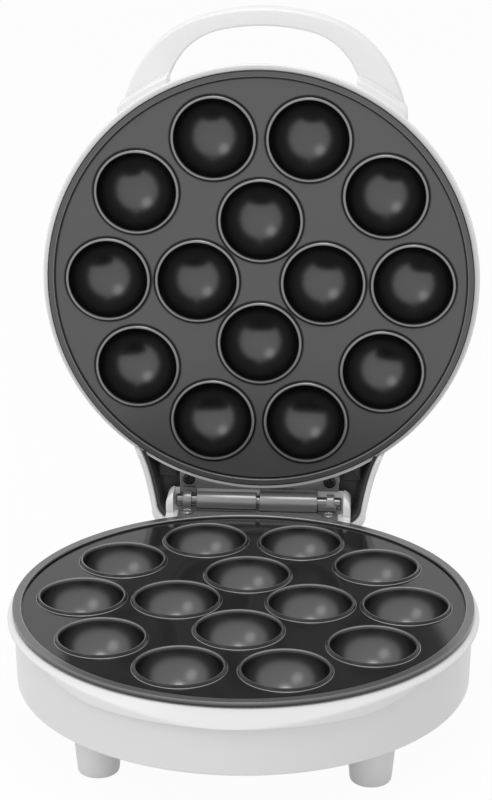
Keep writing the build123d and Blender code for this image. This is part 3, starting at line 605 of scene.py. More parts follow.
def drum_profile(steps):
    """The drum's closed section at each angle. The lip reaches to the larger of its own circle and the
    apron's, its slope ends where the bevel or the lip's corner is lower, and the apron's lower edge is
    level in front and rises in a circular arc to the lip's."""
    angle = np.linspace(0, 2 * np.pi, steps, endpoint=False)
    reach = np.maximum(LIP_R, reach_of_circle(angle, APRON_Y, APRON_R))
    corner = np.minimum(LIP_CORNER, bevel_height(angle, reach))
    past = np.clip(np.abs(reach * np.cos(angle)) - APRON_HALF, 0, APRON_END - APRON_HALF)
    rise = LIP_BOTTOM - APRON_BOTTOM
    arc_r = ((APRON_END - APRON_HALF) ** 2 + rise ** 2) / (2 * rise)
    apron = APRON_BOTTOM + arc_r - np.sqrt(arc_r ** 2 - past ** 2)
    apron = np.where(np.sin(angle) < 0, apron, LIP_BOTTOM)
    apron = np.minimum(apron, corner - APRON_LEAST)
    return soft_corners([
        (OPENING_R, LIP_BOTTOM, 0), (OPENING_R, EDGE_Z, 0.3), (EDGE_R, EDGE_Z, 0.7), (reach, corner, 0.9),
        (reach, apron, 0.9), (DRUM_TOP_R, apron, 0.5), (DRUM_FOOT_R, DRUM_BOTTOM, 1.0),
        (DRUM_INSIDE_R, DRUM_BOTTOM, 0.4), (DRUM_INSIDE_R, COVER_TOP, 0.1), (LEDGE_R, COVER_TOP, 0.1),
        (LEDGE_R, LEDGE_TOP, 0.1), (DRUM_INSIDE_R, LEDGE_TOP, 0.1), (DRUM_INSIDE_R, LIP_BOTTOM, 0.3),
        (OPENING_R, LIP_BOTTOM, 0)], 6)


TOWER_HALF = 43.9
POCKET_HALF = 40.3
TOWER_R = 7.0
TOWER_TOP = 7.9
TOWER_BACK = 105.6
TOWER_FOOT = -31.0
TOWER_FOOT_R = DRUM_FOOT_R - 0.5
TOWER_SEAT_R = EDGE_R + 0.6
TOWER_NECK_Z = -8.2
TOWER_NECK_TURN = math.radians(-83)
TOWER_BEND = 1.2
CHEEK_ROUND = 5.2
CHEEK_EDGE = 0.6
CHEEK_START = POCKET_HALF + 0.2
POCKET_END = POCKET_HALF - 0.05
TROUGH_R = 5.0
TROUGH_TURN = math.radians(40)
SEAT_Z = -2.1
HINGE_Y = HINGE_PLACE[1] - PLATE_MIDDLE[1]
HINGE_Z = HINGE_PLACE[2] - PLATE_MIDDLE[2]
BUSH_Z = -21.5
BUSH_HOLE_R = 5.2
BUSH_HOLE_DEPTH = 6.0
BUSH_HALF = 16.0


def inwards(loop, distance):
    """A closed chain of points in a plane, moved inwards along its own normals."""
    after = np.roll(loop, -1, axis=-2)
    ahead = after - np.roll(loop, 1, axis=-2)
    ahead = ahead / (np.linalg.norm(ahead, axis=-1, keepdims=True) + 1e-9)
    area = (loop[..., 0] * after[..., 1] - after[..., 0] * loop[..., 1]).sum(axis=-1)[..., None]
    sign = np.sign(area)
    normal = np.stack([-ahead[..., 1] * sign, ahead[..., 0] * sign], axis=-1)
    return loop + normal * np.asarray(distance, float)[..., None, None]


def about_hinge(radius, turn):
    """Points (y, z) at a radius and one or more angles about the hinge line."""
    return np.stack([HINGE_Y + radius * np.cos(turn), HINGE_Z + radius * np.sin(turn)], axis=-1)


def tower_sections(x):
    """Closed (y, z) sections of the tower at each x: foot, back, and a round about the hinge line. In the
    cheeks it is cut off level at the top; between them a trough about the same line is let in."""
    x = np.abs(x)
    cheek = x > POCKET_HALF
    past = np.maximum(x - TOWER_HALF + CHEEK_ROUND, 0)
    top = TOWER_TOP - CHEEK_ROUND + np.sqrt(np.maximum(CHEEK_ROUND ** 2 - past ** 2, 0.02))
    t = np.linspace(0, 1, 12)
    cut = np.arcsin(np.clip((top - HINGE_Z) / TOWER_R, 0, 1))
    last = np.where(cheek, cut, TROUGH_TURN)[:, None]
    tower_seat, trough_seat = (math.asin((HINGE_Z - SEAT_Z) / radius) for radius in (TOWER_R, TROUGH_R))
    back = about_hinge(TOWER_R, TOWER_NECK_TURN + (last - TOWER_NECK_TURN) * t)
    end = back[:, -1:]
    level = end + (end * (-1, 1) + (2 * HINGE_Y, 0) - end) * t[:, None]
    front = about_hinge(TOWER_R, np.pi - last + (last + tower_seat) * t)
    wall = end + (about_hinge(TROUGH_R, 0) - end) * t[:, None]
    trough = about_hinge(TROUGH_R, (trough_seat - np.pi) * t)
    pick = cheek[:, None, None]
    foot_y, seat_y = (np.sqrt(radius ** 2 - x ** 2) for radius in (TOWER_FOOT_R, TOWER_SEAT_R))
    foot = chains([(foot_y, TOWER_FOOT), (TOWER_BACK - TOWER_BEND, TOWER_FOOT),
                   (TOWER_BACK, TOWER_FOOT + TOWER_BEND), (TOWER_BACK, TOWER_NECK_Z)])
    return np.concatenate([foot, back, np.where(pick, level, wall), np.where(pick, front, trough),
                           chains([(seat_y, SEAT_Z)])], axis=1)


def hinge_tower():
    """Patches of the tower: its sections along x, closer at the rounded cheeks and drawn in at their
    outer edges, two ends, and a hole in its back for the cord bush."""
    edge = np.linspace(0, np.pi / 2, 4)[1:]
    turn_start = math.asin((CHEEK_START - TOWER_HALF + CHEEK_ROUND) / CHEEK_ROUND)
    turn_end = math.asin((CHEEK_ROUND - CHEEK_EDGE) / CHEEK_ROUND)
    cheek = TOWER_HALF - CHEEK_ROUND + CHEEK_ROUND * np.sin(np.linspace(turn_start, turn_end, 8))
    outer = TOWER_HALF - CHEEK_EDGE + CHEEK_EDGE * np.sin(edge)
    between = np.linspace(BUSH_HALF, POCKET_END, 10)
    half = np.concatenate([[0.0, BUSH_HALF / 2], between, cheek, outer])
    drawn_in = np.concatenate([np.zeros(len(half) - 3), CHEEK_EDGE * (1 - np.cos(edge))])
    x = np.concatenate([-half[:0:-1], half])
    sections = inwards(tower_sections(x), np.concatenate([drawn_in[:0:-1], drawn_in]))
    grid = points_at(x[:, None], sections[..., 0], sections[..., 1])
    points, quads = patch(grid, closed_rows=False, closed_columns=True)
    row, column = np.divmod(quads[:, 0], sections.shape[1])
    over_bush = (column == 2) & (x[row] >= -BUSH_HALF) & (x[row] < BUSH_HALF)
    span = x[np.abs(x) <= BUSH_HALF]
    around = np.concatenate([np.column_stack([span, 0 * span + TOWER_FOOT + TOWER_BEND]),
                             np.column_stack([span[::-1], 0 * span + TOWER_NECK_Z])])
    hole = circle(BUSH_HOLE_R, POST_STEPS, (0, BUSH_Z))
    depths = np.array([TOWER_BACK, TOWER_BACK - BUSH_HOLE_DEPTH])
    tube = points_at(hole[:, :1], depths, hole[:, 1:])
    return [(points, quads[~over_bush]), lid_over(grid[0]), lid_over(grid[-1]),
            area_patch(around, [hole], TOWER_BACK, (0, 2, 1)), patch(tube), lid_over(tube[:, -1])]


REFLECTOR_UNDER = -22.4
PLATE_BOSS_R = 6.2
PLATE_NOSE_R = 1.9
PLATE_BOSS_END = REFLECTOR_UNDER - 3.2
COVER_BOSS_R = 3.6
COVER_BOSS_END = -25.0
BOSS_EDGE = 0.3
COVER_SCREW_RING_R = 91.0
COVER_SCREW_PLACES = ring_places(COVER_SCREW_RING_R, (15, 165, 195, 345))


def bosses():
    """Patches of the upright bosses inside the drum, each turned from a step profile."""
    plate_boss = [(0, PLATE_BOSS_END), (PLATE_NOSE_R, PLATE_BOSS_END), (PLATE_NOSE_R, REFLECTOR_UNDER),
                  (PLATE_BOSS_R, REFLECTOR_UNDER), (PLATE_BOSS_R, COVER_TOP), (0, COVER_TOP)]
    cover_boss = [(0, COVER_BOSS_END), (COVER_BOSS_R, COVER_BOSS_END), (COVER_BOSS_R, COVER_TOP),
                  (0, COVER_TOP)]
    patches = []
    for places, boss in ((PILLAR_PLACES, plate_boss), (COVER_SCREW_PLACES, cover_boss)):
        patches += turned_at(places, soft_corners([(*corner, BOSS_EDGE) for corner in boss]), POST_STEPS)
    return patches


def coat_node(name, material):
    """Gives a node that keeps the frame's own shape a finish."""
    nodes[name].data.materials.clear()
    nodes[name].data.materials.append(material)


def white_gloss(name, colour, roughness):
    """Smooth glossy white plastic, with a very fine grain."""
    return finish(name, colour, roughness, 0.04, 700.0, 0.000003, 0.02, Specular_IOR_Level=0.45)


make_piece("drum", [patch(turned(drum_profile(DRUM_STEPS), DRUM_STEPS)), *hinge_tower(), *bosses()],
           "base", in_base, white_gloss("white_moulding", (0.77, 0.77, 0.775), 0.30),
           ["base_housing"])
white_cover = finish("white_cover_moulding", (0.74, 0.74, 0.745), 0.45, 0.1, 500.0, 0.00002, 0.03)
coat_node("bottom_cover", white_cover)

# The feet: four tapered white mouldings under the bottom cover, each with a rubber pad let into its
# end. They are screwed down from inside.
FOOT_PLACES = ((57.7, -56.6), (-57.7, -56.6), (42.0, 74.0), (-42.0, 74.0))
FOOT_TOP_R = 10.8
FOOT_BOTTOM_R = 8.8
FLOOR_Z = -PLATE_MIDDLE[2]
FOOT_END = FLOOR_Z + 1.0
SOCKET_END = FLOOR_Z + 2.0
PAD_TOP = FLOOR_Z + 1.9
PAD_R = 6.6
SOCKET_R = PAD_R + 0.05
PAD_GROOVE = FLOOR_Z + 0.5
PAD_GROOVE_FOOT_R = (4.4, 2.8)
PAD_GROOVE_TOP_R = (4.1, 3.1)
FOOT_STEPS = 72
foot_profile = soft_corners([
    (0, COVER_BOTTOM, 0), (FOOT_TOP_R, COVER_BOTTOM, 0.2), (FOOT_BOTTOM_R, FOOT_END, 1.5),
    (SOCKET_R, FOOT_END, 0.3), (SOCKET_R, SOCKET_END, 0.1), (0, SOCKET_END, 0)], 7)
pad_profile = soft_corners([
    (0, PAD_TOP, 0), (PAD_R, PAD_TOP, 0.2), (PAD_R, FLOOR_Z, 0.7),
    (PAD_GROOVE_FOOT_R[0], FLOOR_Z, 0.15), (PAD_GROOVE_TOP_R[0], PAD_GROOVE, 0.15),
    (PAD_GROOVE_TOP_R[1], PAD_GROOVE, 0.15), (PAD_GROOVE_FOOT_R[1], FLOOR_Z, 0.15), (0, FLOOR_Z, 0)])
white_foot = finish("white_foot_moulding", (0.74, 0.74, 0.745), 0.36, 0.04, 600.0, 0.000004, 0.02)
pad_rubber = finish("pad_rubber", (0.035, 0.035, 0.035), 0.8, 0.15, 900.0, 0.00004, 0.15)
make_piece("moulded_feet", turned_at(FOOT_PLACES, foot_profile, FOOT_STEPS),
           "base", in_base, white_foot, ["feet"])
make_piece("rubber_pads", turned_at(FOOT_PLACES, pad_profile, FOOT_STEPS),
           "base", in_base, pad_rubber, ["foot_pads"])

# The cord bush: a black rubber grommet snapped into the back of the tower, a neck between two
# flanges, with a bore for the cord.
BUSH_BORE_R = 3.5
BUSH_FLANGE_R = 6.8
BUSH_INNER_FLANGE_R = 6.4
BUSH_FACE_R, BUSH_MOUTH_R = 6.2, 4.1
BUSH_INNER_Y = (101.0, 103.2)
BUSH_FLANGE_Y = (105.62, 107.8)
BUSH_SEAM_Y, BUSH_MOUTH_Y = 104.0, 106.8
BUSH_STEPS = 64
bush_profile = soft_corners([
    (BUSH_BORE_R, BUSH_SEAM_Y, 0), (BUSH_BORE_R, BUSH_INNER_Y[0], 0.3),
    (BUSH_INNER_FLANGE_R, BUSH_INNER_Y[0], 0.6), (BUSH_INNER_FLANGE_R, BUSH_INNER_Y[1], 0.3),
    (BUSH_HOLE_R, BUSH_INNER_Y[1], 0.2), (BUSH_HOLE_R, BUSH_FLANGE_Y[0], 0.1),
    (BUSH_FLANGE_R, BUSH_FLANGE_Y[0], 0.3), (BUSH_FACE_R, BUSH_FLANGE_Y[1], 0.8),
    (BUSH_MOUTH_R, BUSH_FLANGE_Y[1], 0.5), (BUSH_BORE_R, BUSH_MOUTH_Y, 0.4), (BUSH_BORE_R, BUSH_SEAM_Y, 0)])
bush = turned(bush_profile, BUSH_STEPS)
bush_rubber = finish("bush_rubber", (0.03, 0.03, 0.03), 0.6, 0.15, 1200.0, 0.00003, 0.15)
make_piece("cord_bush", [patch(points_at(bush[..., 0], bush[..., 2], bush[..., 1] + BUSH_Z))],
           "base", in_base, bush_rubber, ["cord_gland"])

# The lid: a domed white moulding with a short upright rim, a wall that leans in, a round shoulder and
# a flat crown. Its rear skirt runs back round the hinge, and two corbels carry the handle's arms.
LID_R = 101.7
LID_EDGE_Z = 3.0
LID_WALL_FOOT = 5.0
LID_TOP = 38.5
CROWN_UNDER = 35.9
CAVITY_Z = 7.0
CAVITY_SHOULDER = ((94.4, 22.6), (89.5, 30.6), (79.0, CROWN_UNDER))
CAVITY_SOFTNESS = 3.0
SHOULDER_R = 22.0
SHOULDER_MIDDLE = (75.74, 16.5)
SHOULDER_FOOT = 15.4
CROWN_R = SHOULDER_MIDDLE[0] - 2
LENS_PLACES = np.array([(9.0, -54.0), (-9.0, -54.0)])
LENS_R = 3.6


def dome():
    """Patches of the dome: the outside turned from rim, wall and a circular shoulder, the cavity turned
    from its own chain, and the crown as two level sheets pierced for the lamp lenses."""
    angle = np.radians(np.linspace(SHOULDER_FOOT, 90, 22))
    shoulder = SHOULDER_MIDDLE + SHOULDER_R * np.column_stack([np.cos(angle), np.sin(angle)])
    rim = soft_corners([(OPENING_R, CAVITY_Z, 0), (OPENING_R, LID_EDGE_Z, 0.5), (LID_R, LID_EDGE_Z, 0.9),
                        (LID_R, LID_WALL_FOOT, 1.6), (*shoulder[0], 0)], 6)
    outside = np.concatenate([rim, shoulder[1:], [(CROWN_R, LID_TOP)]])
    within = [(*corner, CAVITY_SOFTNESS) for corner in CAVITY_SHOULDER]
    cavity = soft_corners([(OPENING_R, CAVITY_Z, 0), *within, (CROWN_R, CROWN_UNDER, 0)])
    holes = [circle(LENS_R, POST_STEPS, place) for place in LENS_PLACES]
    hole_wall = [(LENS_R, LID_TOP), (LENS_R, CROWN_UNDER)]
    return [patch(turned(outside, PLATE_STEPS)), patch(turned(cavity, PLATE_STEPS)),
            *[area_patch(circle(CROWN_R, PLATE_STEPS), holes, height) for height in (LID_TOP, CROWN_UNDER)],
            *turned_at(LENS_PLACES, hole_wall, POST_STEPS)]


SKIRT_EDGE_Z = 0.9
SKIRT_TOP = 25.0
SKIRT_FLANK = np.array([(61.0, 79.5), (56.0, 91.5), (53.4, 101.5), (51.2, 112.8)])
SKIRT_CORNER_X = (49.2, 43.6)
SKIRT_CORNER_RUN = 2.6
SKIRT_END = 121.5
SKIRT_LEAN = 3.5
SKIRT_WALL = 2.6
SKIRT_HOLLOW = SKIRT_WALL + 3.2
SKIRT_ROOF_EDGE = 16.0
SKIRT_START = 73.0
SKIRT_RISE = 6.5
SKIRT_RISE_Y, SKIRT_RISE_RUN = 84.5, 7.0


def arc_through(a, b, c, steps):
    """Points on the circle through three points, from the first to the last. Leading axes go along."""
    ab, ac = b - a, c - a
    cross = 2 * (ab[..., 0] * ac[..., 1] - ab[..., 1] * ac[..., 0])[..., None]
    square_ab, square_ac = (ab ** 2).sum(-1)[..., None], (ac ** 2).sum(-1)[..., None]
    towards = (square_ab * np.stack([ac[..., 1], -ac[..., 0]], -1)
               + square_ac * np.stack([-ab[..., 1], ab[..., 0]], -1)) / cross
    middle = a + towards
    radius = np.linalg.norm(towards, axis=-1)[..., None]
    start = np.arctan2(-towards[..., 1], -towards[..., 0])[..., None]
    end = np.arctan2((c - middle)[..., 1], (c - middle)[..., 0])[..., None]
    turn = start + ((end - start + np.pi) % (2 * np.pi) - np.pi) * np.linspace(0, 1, steps)
    return middle[..., None, :] + radius[..., None] * np.stack([np.cos(turn), np.sin(turn)], -1)


def skirt_plan(inset, start):
    """The skirt's plan from its right front end round the back to its left one, drawn in by an inset.
    A flank is the cubic x(y) through its four places, and the corner is a circular arc."""
    inset = np.asarray(inset, float)[:, None]
    cubic = np.polyfit(SKIRT_FLANK[:, 1], SKIRT_FLANK[:, 0], 3)
    y = start + (SKIRT_FLANK[-1, 1] - inset - start) * np.linspace(0, 1, 26)
    flank = np.stack([np.polyval(cubic, y) - inset, y], axis=-1)
    turn = chains([(SKIRT_CORNER_X[0], SKIRT_END - SKIRT_CORNER_RUN), (SKIRT_CORNER_X[1], SKIRT_END)])
    turn = turn - inset[:, :, None]
    corner = arc_through(flank[:, -1], turn[:, 0], turn[:, 1], 10)
    x_back = corner[:, -1:, 0] * np.linspace(1, 0, 5)[1:]
    back_edge = points_at(x_back, turn[:, 1:, 1])
    half = np.concatenate([flank, corner[:, 1:], back_edge], axis=1)
    return np.concatenate([half, half[:, -2::-1] * (-1, 1)], axis=1)


def skirt():
    """Patches of the skirt: one chain of (inset, height), up the inside, round the lower edge and up the
    outside to the roof, carried along the plan. The edge rises in front, where it runs into the dome."""
    chain = soft_corners([
        (SKIRT_ROOF_EDGE, SKIRT_TOP - SKIRT_WALL, 0), (SKIRT_HOLLOW, SKIRT_TOP - SKIRT_WALL, 1.0),
        (SKIRT_WALL, SKIRT_EDGE_Z, 0.7), (0, SKIRT_EDGE_Z, 0.8), (SKIRT_LEAN, SKIRT_TOP, 4.0),
        (SKIRT_ROOF_EDGE, SKIRT_TOP, 0)], 6)
    plan = skirt_plan(chain[:, 0], SKIRT_START)
    forward = np.clip((SKIRT_RISE_Y - plan[..., 1]) / SKIRT_RISE_RUN, 0, 1)
    raised = SKIRT_RISE * forward ** 2 * (3 - 2 * forward)
    z = chain[:, 1:]
    z = z + raised * (1 - (z - SKIRT_EDGE_Z) / (SKIRT_TOP - SKIRT_EDGE_Z))
    grid = points_at(plan[..., 0], plan[..., 1], z)
    return [patch(grid, closed_rows=False), lid_over(grid[0]), lid_over(grid[-1]), lid_over(grid[:, 0]),
            lid_over(grid[:, -1])]


HANDLE_LOW = 20.0
CORBEL_R = 104.4
CORBEL_ROOT_R = 99.5
CORBEL_LOW = 4.5
CORBEL_SPAN = (43.3, 66.5)
CORBEL_EDGE = 1.0
CORBEL_STEPS = 14


def capped(grid):
    """A tube of closed sections, one to a row, with a face over each end."""
    return [patch(grid, closed_rows=False, closed_columns=True), lid_over(grid[0]), lid_over(grid[-1])]


def corbel(side):
    """Patches of one corbel: a section of (radius, height), y = -sqrt(r^2 - x^2), carried along x with its
    ends drawn in by a quarter circle."""
    section = soft_corners([(CORBEL_ROOT_R, HANDLE_LOW, 0), (CORBEL_R, HANDLE_LOW, 1.2),
                            (CORBEL_R, CORBEL_LOW, 1.2), (CORBEL_ROOT_R, CORBEL_LOW, 0)], 6)
    edge = np.linspace(0, np.pi / 2, 4)
    low, high = CORBEL_SPAN[0] + CORBEL_EDGE, CORBEL_SPAN[1] - CORBEL_EDGE
    x = np.concatenate([low - CORBEL_EDGE * np.cos(edge), np.linspace(low, high, CORBEL_STEPS + 2)[1:-1],
                        high + CORBEL_EDGE * np.sin(edge)])[:, None]
    shrink = np.concatenate([1 - np.sin(edge), np.zeros(CORBEL_STEPS), 1 - np.cos(edge)])[:, None]
    shrink = CORBEL_EDGE * shrink
    middle, half = (HANDLE_LOW + CORBEL_LOW) / 2, (HANDLE_LOW - CORBEL_LOW) / 2
    radius = section[:, 0] - shrink * (section[:, 0] > CORBEL_ROOT_R + CORBEL_EDGE)
    height = middle + (section[:, 1] - middle) * (1 - shrink / half)
    return capped(points_at(side * x, -np.sqrt(radius ** 2 - x ** 2), height))


LEAF_SCREW_X = 33.6
LID_SCREW_REACH = 9.9
LEAF_TOP = 6.7
LID_BOSS_R, LID_BOSS_FOOT_R = 4.6, 6.0
LID_BOSS_STEP, LID_BOSS_END = 14.0, 23.0
LID_SCREW_PLACES = [(side * LEAF_SCREW_X, HINGE_Y - LID_SCREW_REACH) for side in (1, -1)]
lid_boss = soft_corners([
    (0, LEAF_TOP, 0), (LID_BOSS_R, LEAF_TOP, 0.4), (LID_BOSS_R, LID_BOSS_STEP, 0.2),
    (LID_BOSS_FOOT_R, LID_BOSS_STEP, 0.2), (LID_BOSS_FOOT_R, LID_BOSS_END, 0.2), (0, LID_BOSS_END, 0)])
white_lid = white_gloss("white_gloss_moulding", (0.8, 0.8, 0.805), 0.26)
make_piece("domed_lid", [*dome(), *skirt(), *corbel(1), *corbel(-1),
                         *turned_at(LID_SCREW_PLACES, lid_boss, POST_STEPS)],
           "lid", in_lid, white_lid, ["lid_housing"])

# The handle: a flat loop grip in the same white plastic, with softly rounded edges. Its two arms run
# into the front of the lid above the corbels and are screwed on from inside.
HANDLE_DEPTH = 12.0
HANDLE_EDGE = 1.4
HANDLE_OUTER = ((0.0, -124.3), (30.5, -119.3), (57.3, -98.1), (66.7, -72.0))
HANDLE_INNER = ((0.0, -116.2), (20.8, -113.8), (39.6, -100.5), (47.1, -78.0))
HANDLE_STEPS = 22
ARM_SLOPE = 2.2
ARM_SLOPE_SHARE = 0.2


def tangent_arcs(places, steps):
    """Circular arcs through places, each tangent to the one before and the first level. An arc that
    leaves at an angle h to its chord turns by 2h."""
    places = np.asarray(places, float)
    heading, runs = 0.0, []
    t = np.linspace(0, 1, steps + 1)
    for start, end in zip(places, places[1:]):
        chord = end - start
        h = math.atan2(chord[1], chord[0]) - heading
        part = np.hypot(*chord) * np.sin(h * t) / math.sin(h)
        bearing = heading + h * t
        runs.append((start + np.column_stack([part * np.cos(bearing), part * np.sin(bearing)]))[:-1])
        heading += 2 * h
    return np.concatenate([*runs, places[-1:]])


def soft_rectangles(a_low, a_high, b_low, b_high, softness, steps):
    """Closed rectangles with rounded corners, one for each entry where a side is an array."""
    corners = [(a_low, b_low, softness), (a_high, b_low, softness), (a_high, b_high, softness),
               (a_low, b_high, softness)]
    return soft_corners([corners[-1], *corners, corners[0]], steps)[..., 1:-1, :]


def handle_loop():
    """Patches of the grip: at each step along the loop a rounded rectangle between the outer and inner
    arcs. Near each end its back slopes down, so that the arm runs out on the lid's shoulder."""
    outer, inner = tangent_arcs(HANDLE_OUTER, HANDLE_STEPS), tangent_arcs(HANDLE_INNER, HANDLE_STEPS)
    outer = np.concatenate([outer[::-1] * (-1, 1), outer[1:]])
    inner = np.concatenate([inner[::-1] * (-1, 1), inner[1:]])
    across = inner - outer
    width = np.linalg.norm(across, axis=1)
    s = np.abs(np.linspace(-1, 1, len(outer)))
    near_end = np.clip((s - 1 + ARM_SLOPE_SHARE) / ARM_SLOPE_SHARE, 0, 1)
    top = HANDLE_LOW + HANDLE_DEPTH - ARM_SLOPE * near_end ** 2 * (3 - 2 * near_end)
    section = soft_rectangles(0, width, HANDLE_LOW, top, HANDLE_EDGE, 7)
    place = outer[:, None, :] + (across / width[:, None])[:, None, :] * section[..., :1]
    return capped(points_at(place[..., 0], place[..., 1], section[..., 1]))


white_handle = white_gloss("white_handle_moulding", (0.8, 0.8, 0.805), 0.28)
make_piece("loop_handle", handle_loop(), "lid", in_lid, white_handle, ["handle"])

# The tray: a dark grey moulding pressed into the skirt behind the hinge. It lines the skirt's wall,
# and stands out in a step on each side of the hinge leaf.
TRAY_FLOOR = 12.2
TRAY_BACK = 14.0
TRAY_RIM = 2.2
TRAY_INSET = 13.0
TRAY_GAP = 0.1
TRAY_WALL = 1.6
TRAY_RIM_WALL = 1.5
TRAY_BEND = 3.2
TRAY_START = 84.0
TRAY_R = 100.5
STEP_SPAN = (39.6, 48.4)
STEP_Y = (88.0, 98.4)
STEP_LOW = 8.0
STEP_EDGE = 0.8
STEP_TOP = TRAY_FLOOR + 0.5


def soft_block(low, high, softness):
    """Patches of a moulded block: a rounded rectangle at each height, drawn in towards the lower face."""
    outline = soft_rectangles(low[0], high[0], low[1], high[1], softness, 6)
    edge = np.linspace(0, np.pi / 2, 5)
    drawn = np.append(softness * (1 - np.sin(edge)), 0.0)
    heights = np.append(low[2] + softness * (1 - np.cos(edge)), high[2])
    loops = inwards(np.broadcast_to(outline, (len(drawn), *outline.shape)), drawn)
    return capped(points_at(loops[..., 0], loops[..., 1], heights[:, None]))


def tray_wall(z):
    """How far the tray's wall lies inside the skirt's plan at a height, as the skirt draws in."""
    return SKIRT_WALL + SKIRT_LEAN * (z - SKIRT_EDGE_Z) / (SKIRT_TOP - SKIRT_EDGE_Z) + TRAY_GAP


def lining_tray():
    """Patches of the tray: a chain of (inset, height) carried along the skirt's plan, with its floor and
    back closed to an arc round the dome, and the two steps."""
    wall_low, wall_high = tray_wall(TRAY_RIM), tray_wall(TRAY_BACK)
    chain = soft_corners([
        (TRAY_INSET, TRAY_FLOOR, 0), (wall_high + TRAY_WALL, TRAY_FLOOR, TRAY_BEND),
        (wall_low + TRAY_RIM_WALL, TRAY_RIM, 0.4), (wall_low, TRAY_RIM, 0.4), (wall_high, TRAY_BACK, 0.8),
        (TRAY_INSET, TRAY_BACK, 0)], 7)
    plan = skirt_plan(chain[:, 0], TRAY_START)
    grid = points_at(plan[..., 0], plan[..., 1], chain[:, 1:])
    end = math.atan2(plan[0, -1, 1], plan[0, -1, 0])
    front = ring_places(TRAY_R, np.degrees(np.linspace(end, np.pi - end, 24)))[1:-1]
    patches = [patch(grid, closed_rows=False), lid_over(grid[:, 0]), lid_over(grid[:, -1])]
    edges = []
    for row, height in ((grid[0], TRAY_FLOOR), (grid[-1], TRAY_BACK)):
        front_edge = points_at(front[:, 0], front[:, 1], height)
        patches.append(lid_over(np.concatenate([row, front_edge])))
        edges.append(np.concatenate([row[-1:], front_edge, row[:1]]))
    patches.append(patch(np.stack(edges, axis=1), closed_rows=False))
    for side in (1, -1):
        x = sorted(side * edge for edge in STEP_SPAN)
        patches += soft_block((x[0], STEP_Y[0], STEP_LOW), (x[1], STEP_Y[1], STEP_TOP), STEP_EDGE)
    return patches


grey_tray = finish("dark_grey_moulding", (0.045, 0.045, 0.047), 0.42, 0.12, 500.0, 0.00003, 0.08)
make_piece("lining_tray", lining_tray(), "lid", in_lid, grey_tray, ["lid_liner"])

# The hinge: two leaves of bright steel sheet, each with knuckles rolled round one pin. The outermost
# knuckle of each leaf is only a narrow curled strip. The pin is drawn steel with rounded ends.
BARREL_R = 4.4
LEAF_SHEET = 1.4
LEAF_HALF = 38.0
LEAF_EDGE = 0.35
DRAWN_SHARE = 0.9
LID_LEAF_R = LID_R + 0.5
BASE_LEAF_R = PLATE_R + 1.1
SHEET_END = 103.1
TAB_OVERLAP = 1.2
ROLL_R = BARREL_R - LEAF_SHEET / 2
ROLL_START, ROLL_END = 90.0, -215.0
LID_KNUCKLE = (0.5, 28.0)
LID_CURL, LID_CURL_STRIP, LID_CURL_WINDOW = (-38.0, -30.0), (-36.0, -32.0), (89, -216)
BASE_KNUCKLE = (-29.5, -1.0)
BASE_CURL, BASE_CURL_STRIP, BASE_CURL_WINDOW = (28.5, 37.0), (32.3, 36.0), (-6, -172)
PIN_R = 2.94
PIN_HALF = 39.5
PIN_STEPS = 48


def leaf_sheet(side, front_r):
    """Patches of a leaf's flat part: a rounded strip section from an arc round the dome or the plate to
    the knuckles, carried along x with its ends drawn in."""
    edge = LEAF_EDGE * (1 - np.sin(np.linspace(0, np.pi / 2, 4)))
    flat_half = LEAF_HALF - LEAF_EDGE
    x = np.concatenate([edge[::-1] - LEAF_HALF, np.linspace(-flat_half, flat_half, 40)[1:-1],
                        LEAF_HALF - edge])
    past = np.clip(np.abs(x) - flat_half, 0, LEAF_EDGE)
    drawn = DRAWN_SHARE * (LEAF_EDGE - np.sqrt(np.maximum(LEAF_EDGE ** 2 - past ** 2, 0)))
    far, near = HINGE_Z + side * BARREL_R, HINGE_Z + side * (BARREL_R - LEAF_SHEET)
    section = soft_rectangles(np.sqrt(front_r ** 2 - x ** 2), SHEET_END, near, far, LEAF_EDGE, 4)
    section = inwards(section, drawn)
    return capped(points_at(x[:, None], section[..., 0], section[..., 1]))


def rolled_tab(side, wide, narrow=(0, 0), window=(0, 0)):
    """Patches of one knuckle: a strip that leaves the sheet and rolls round the pin on a circular arc.
    Where the roll's angle, in degrees, is inside the window, the strip is narrower."""
    straight = np.linspace(SHEET_END - TAB_OVERLAP, HINGE_Y, 6)[:-1]
    degrees = np.linspace(ROLL_START, ROLL_END, 78)
    angle = np.radians(np.concatenate([ROLL_START + 0 * straight, degrees]))[:, None]
    y = np.concatenate([straight, HINGE_Y + 0 * degrees])[:, None]
    inside = np.concatenate([0 * straight > 0, (degrees <= window[0]) & (degrees >= window[1])])
    low, high = (np.where(inside, thin, full) for thin, full in zip(narrow, wide))
    section = soft_rectangles(low, high, -LEAF_SHEET / 2, LEAF_SHEET / 2, LEAF_EDGE, 4)
    x, radius = section[..., 0], ROLL_R + section[..., 1]
    return capped(points_at(x, y + radius * np.cos(angle), HINGE_Z + side * radius * np.sin(angle)))


leaf_steel = finish("rolled_leaf_steel", (0.23, 0.23, 0.235), 0.3, 0.1, 1400.0, 0.000005, 0.1, DRAWN_GRAIN,
                    Metallic=0.6)
make_piece("lid_leaf", [*leaf_sheet(1, LID_LEAF_R), *rolled_tab(1, LID_CURL, LID_CURL_STRIP, LID_CURL_WINDOW),
                        *rolled_tab(1, LID_KNUCKLE)],
           "lid", in_lid, leaf_steel, ["lid_hinge_leaf"])
make_piece("base_leaf", [*leaf_sheet(-1, BASE_LEAF_R), *rolled_tab(-1, BASE_KNUCKLE),
                         *rolled_tab(-1, BASE_CURL, BASE_CURL_STRIP, BASE_CURL_WINDOW)],
           "base", in_base, leaf_steel, ["base_hinge_leaf"])
pin_profile = [(0, -PIN_HALF, 0), (PIN_R, -PIN_HALF, 0.9), (PIN_R, PIN_HALF, 0.9), (0, PIN_HALF, 0)]
pin = turned(soft_corners(pin_profile, 7), PIN_STEPS)
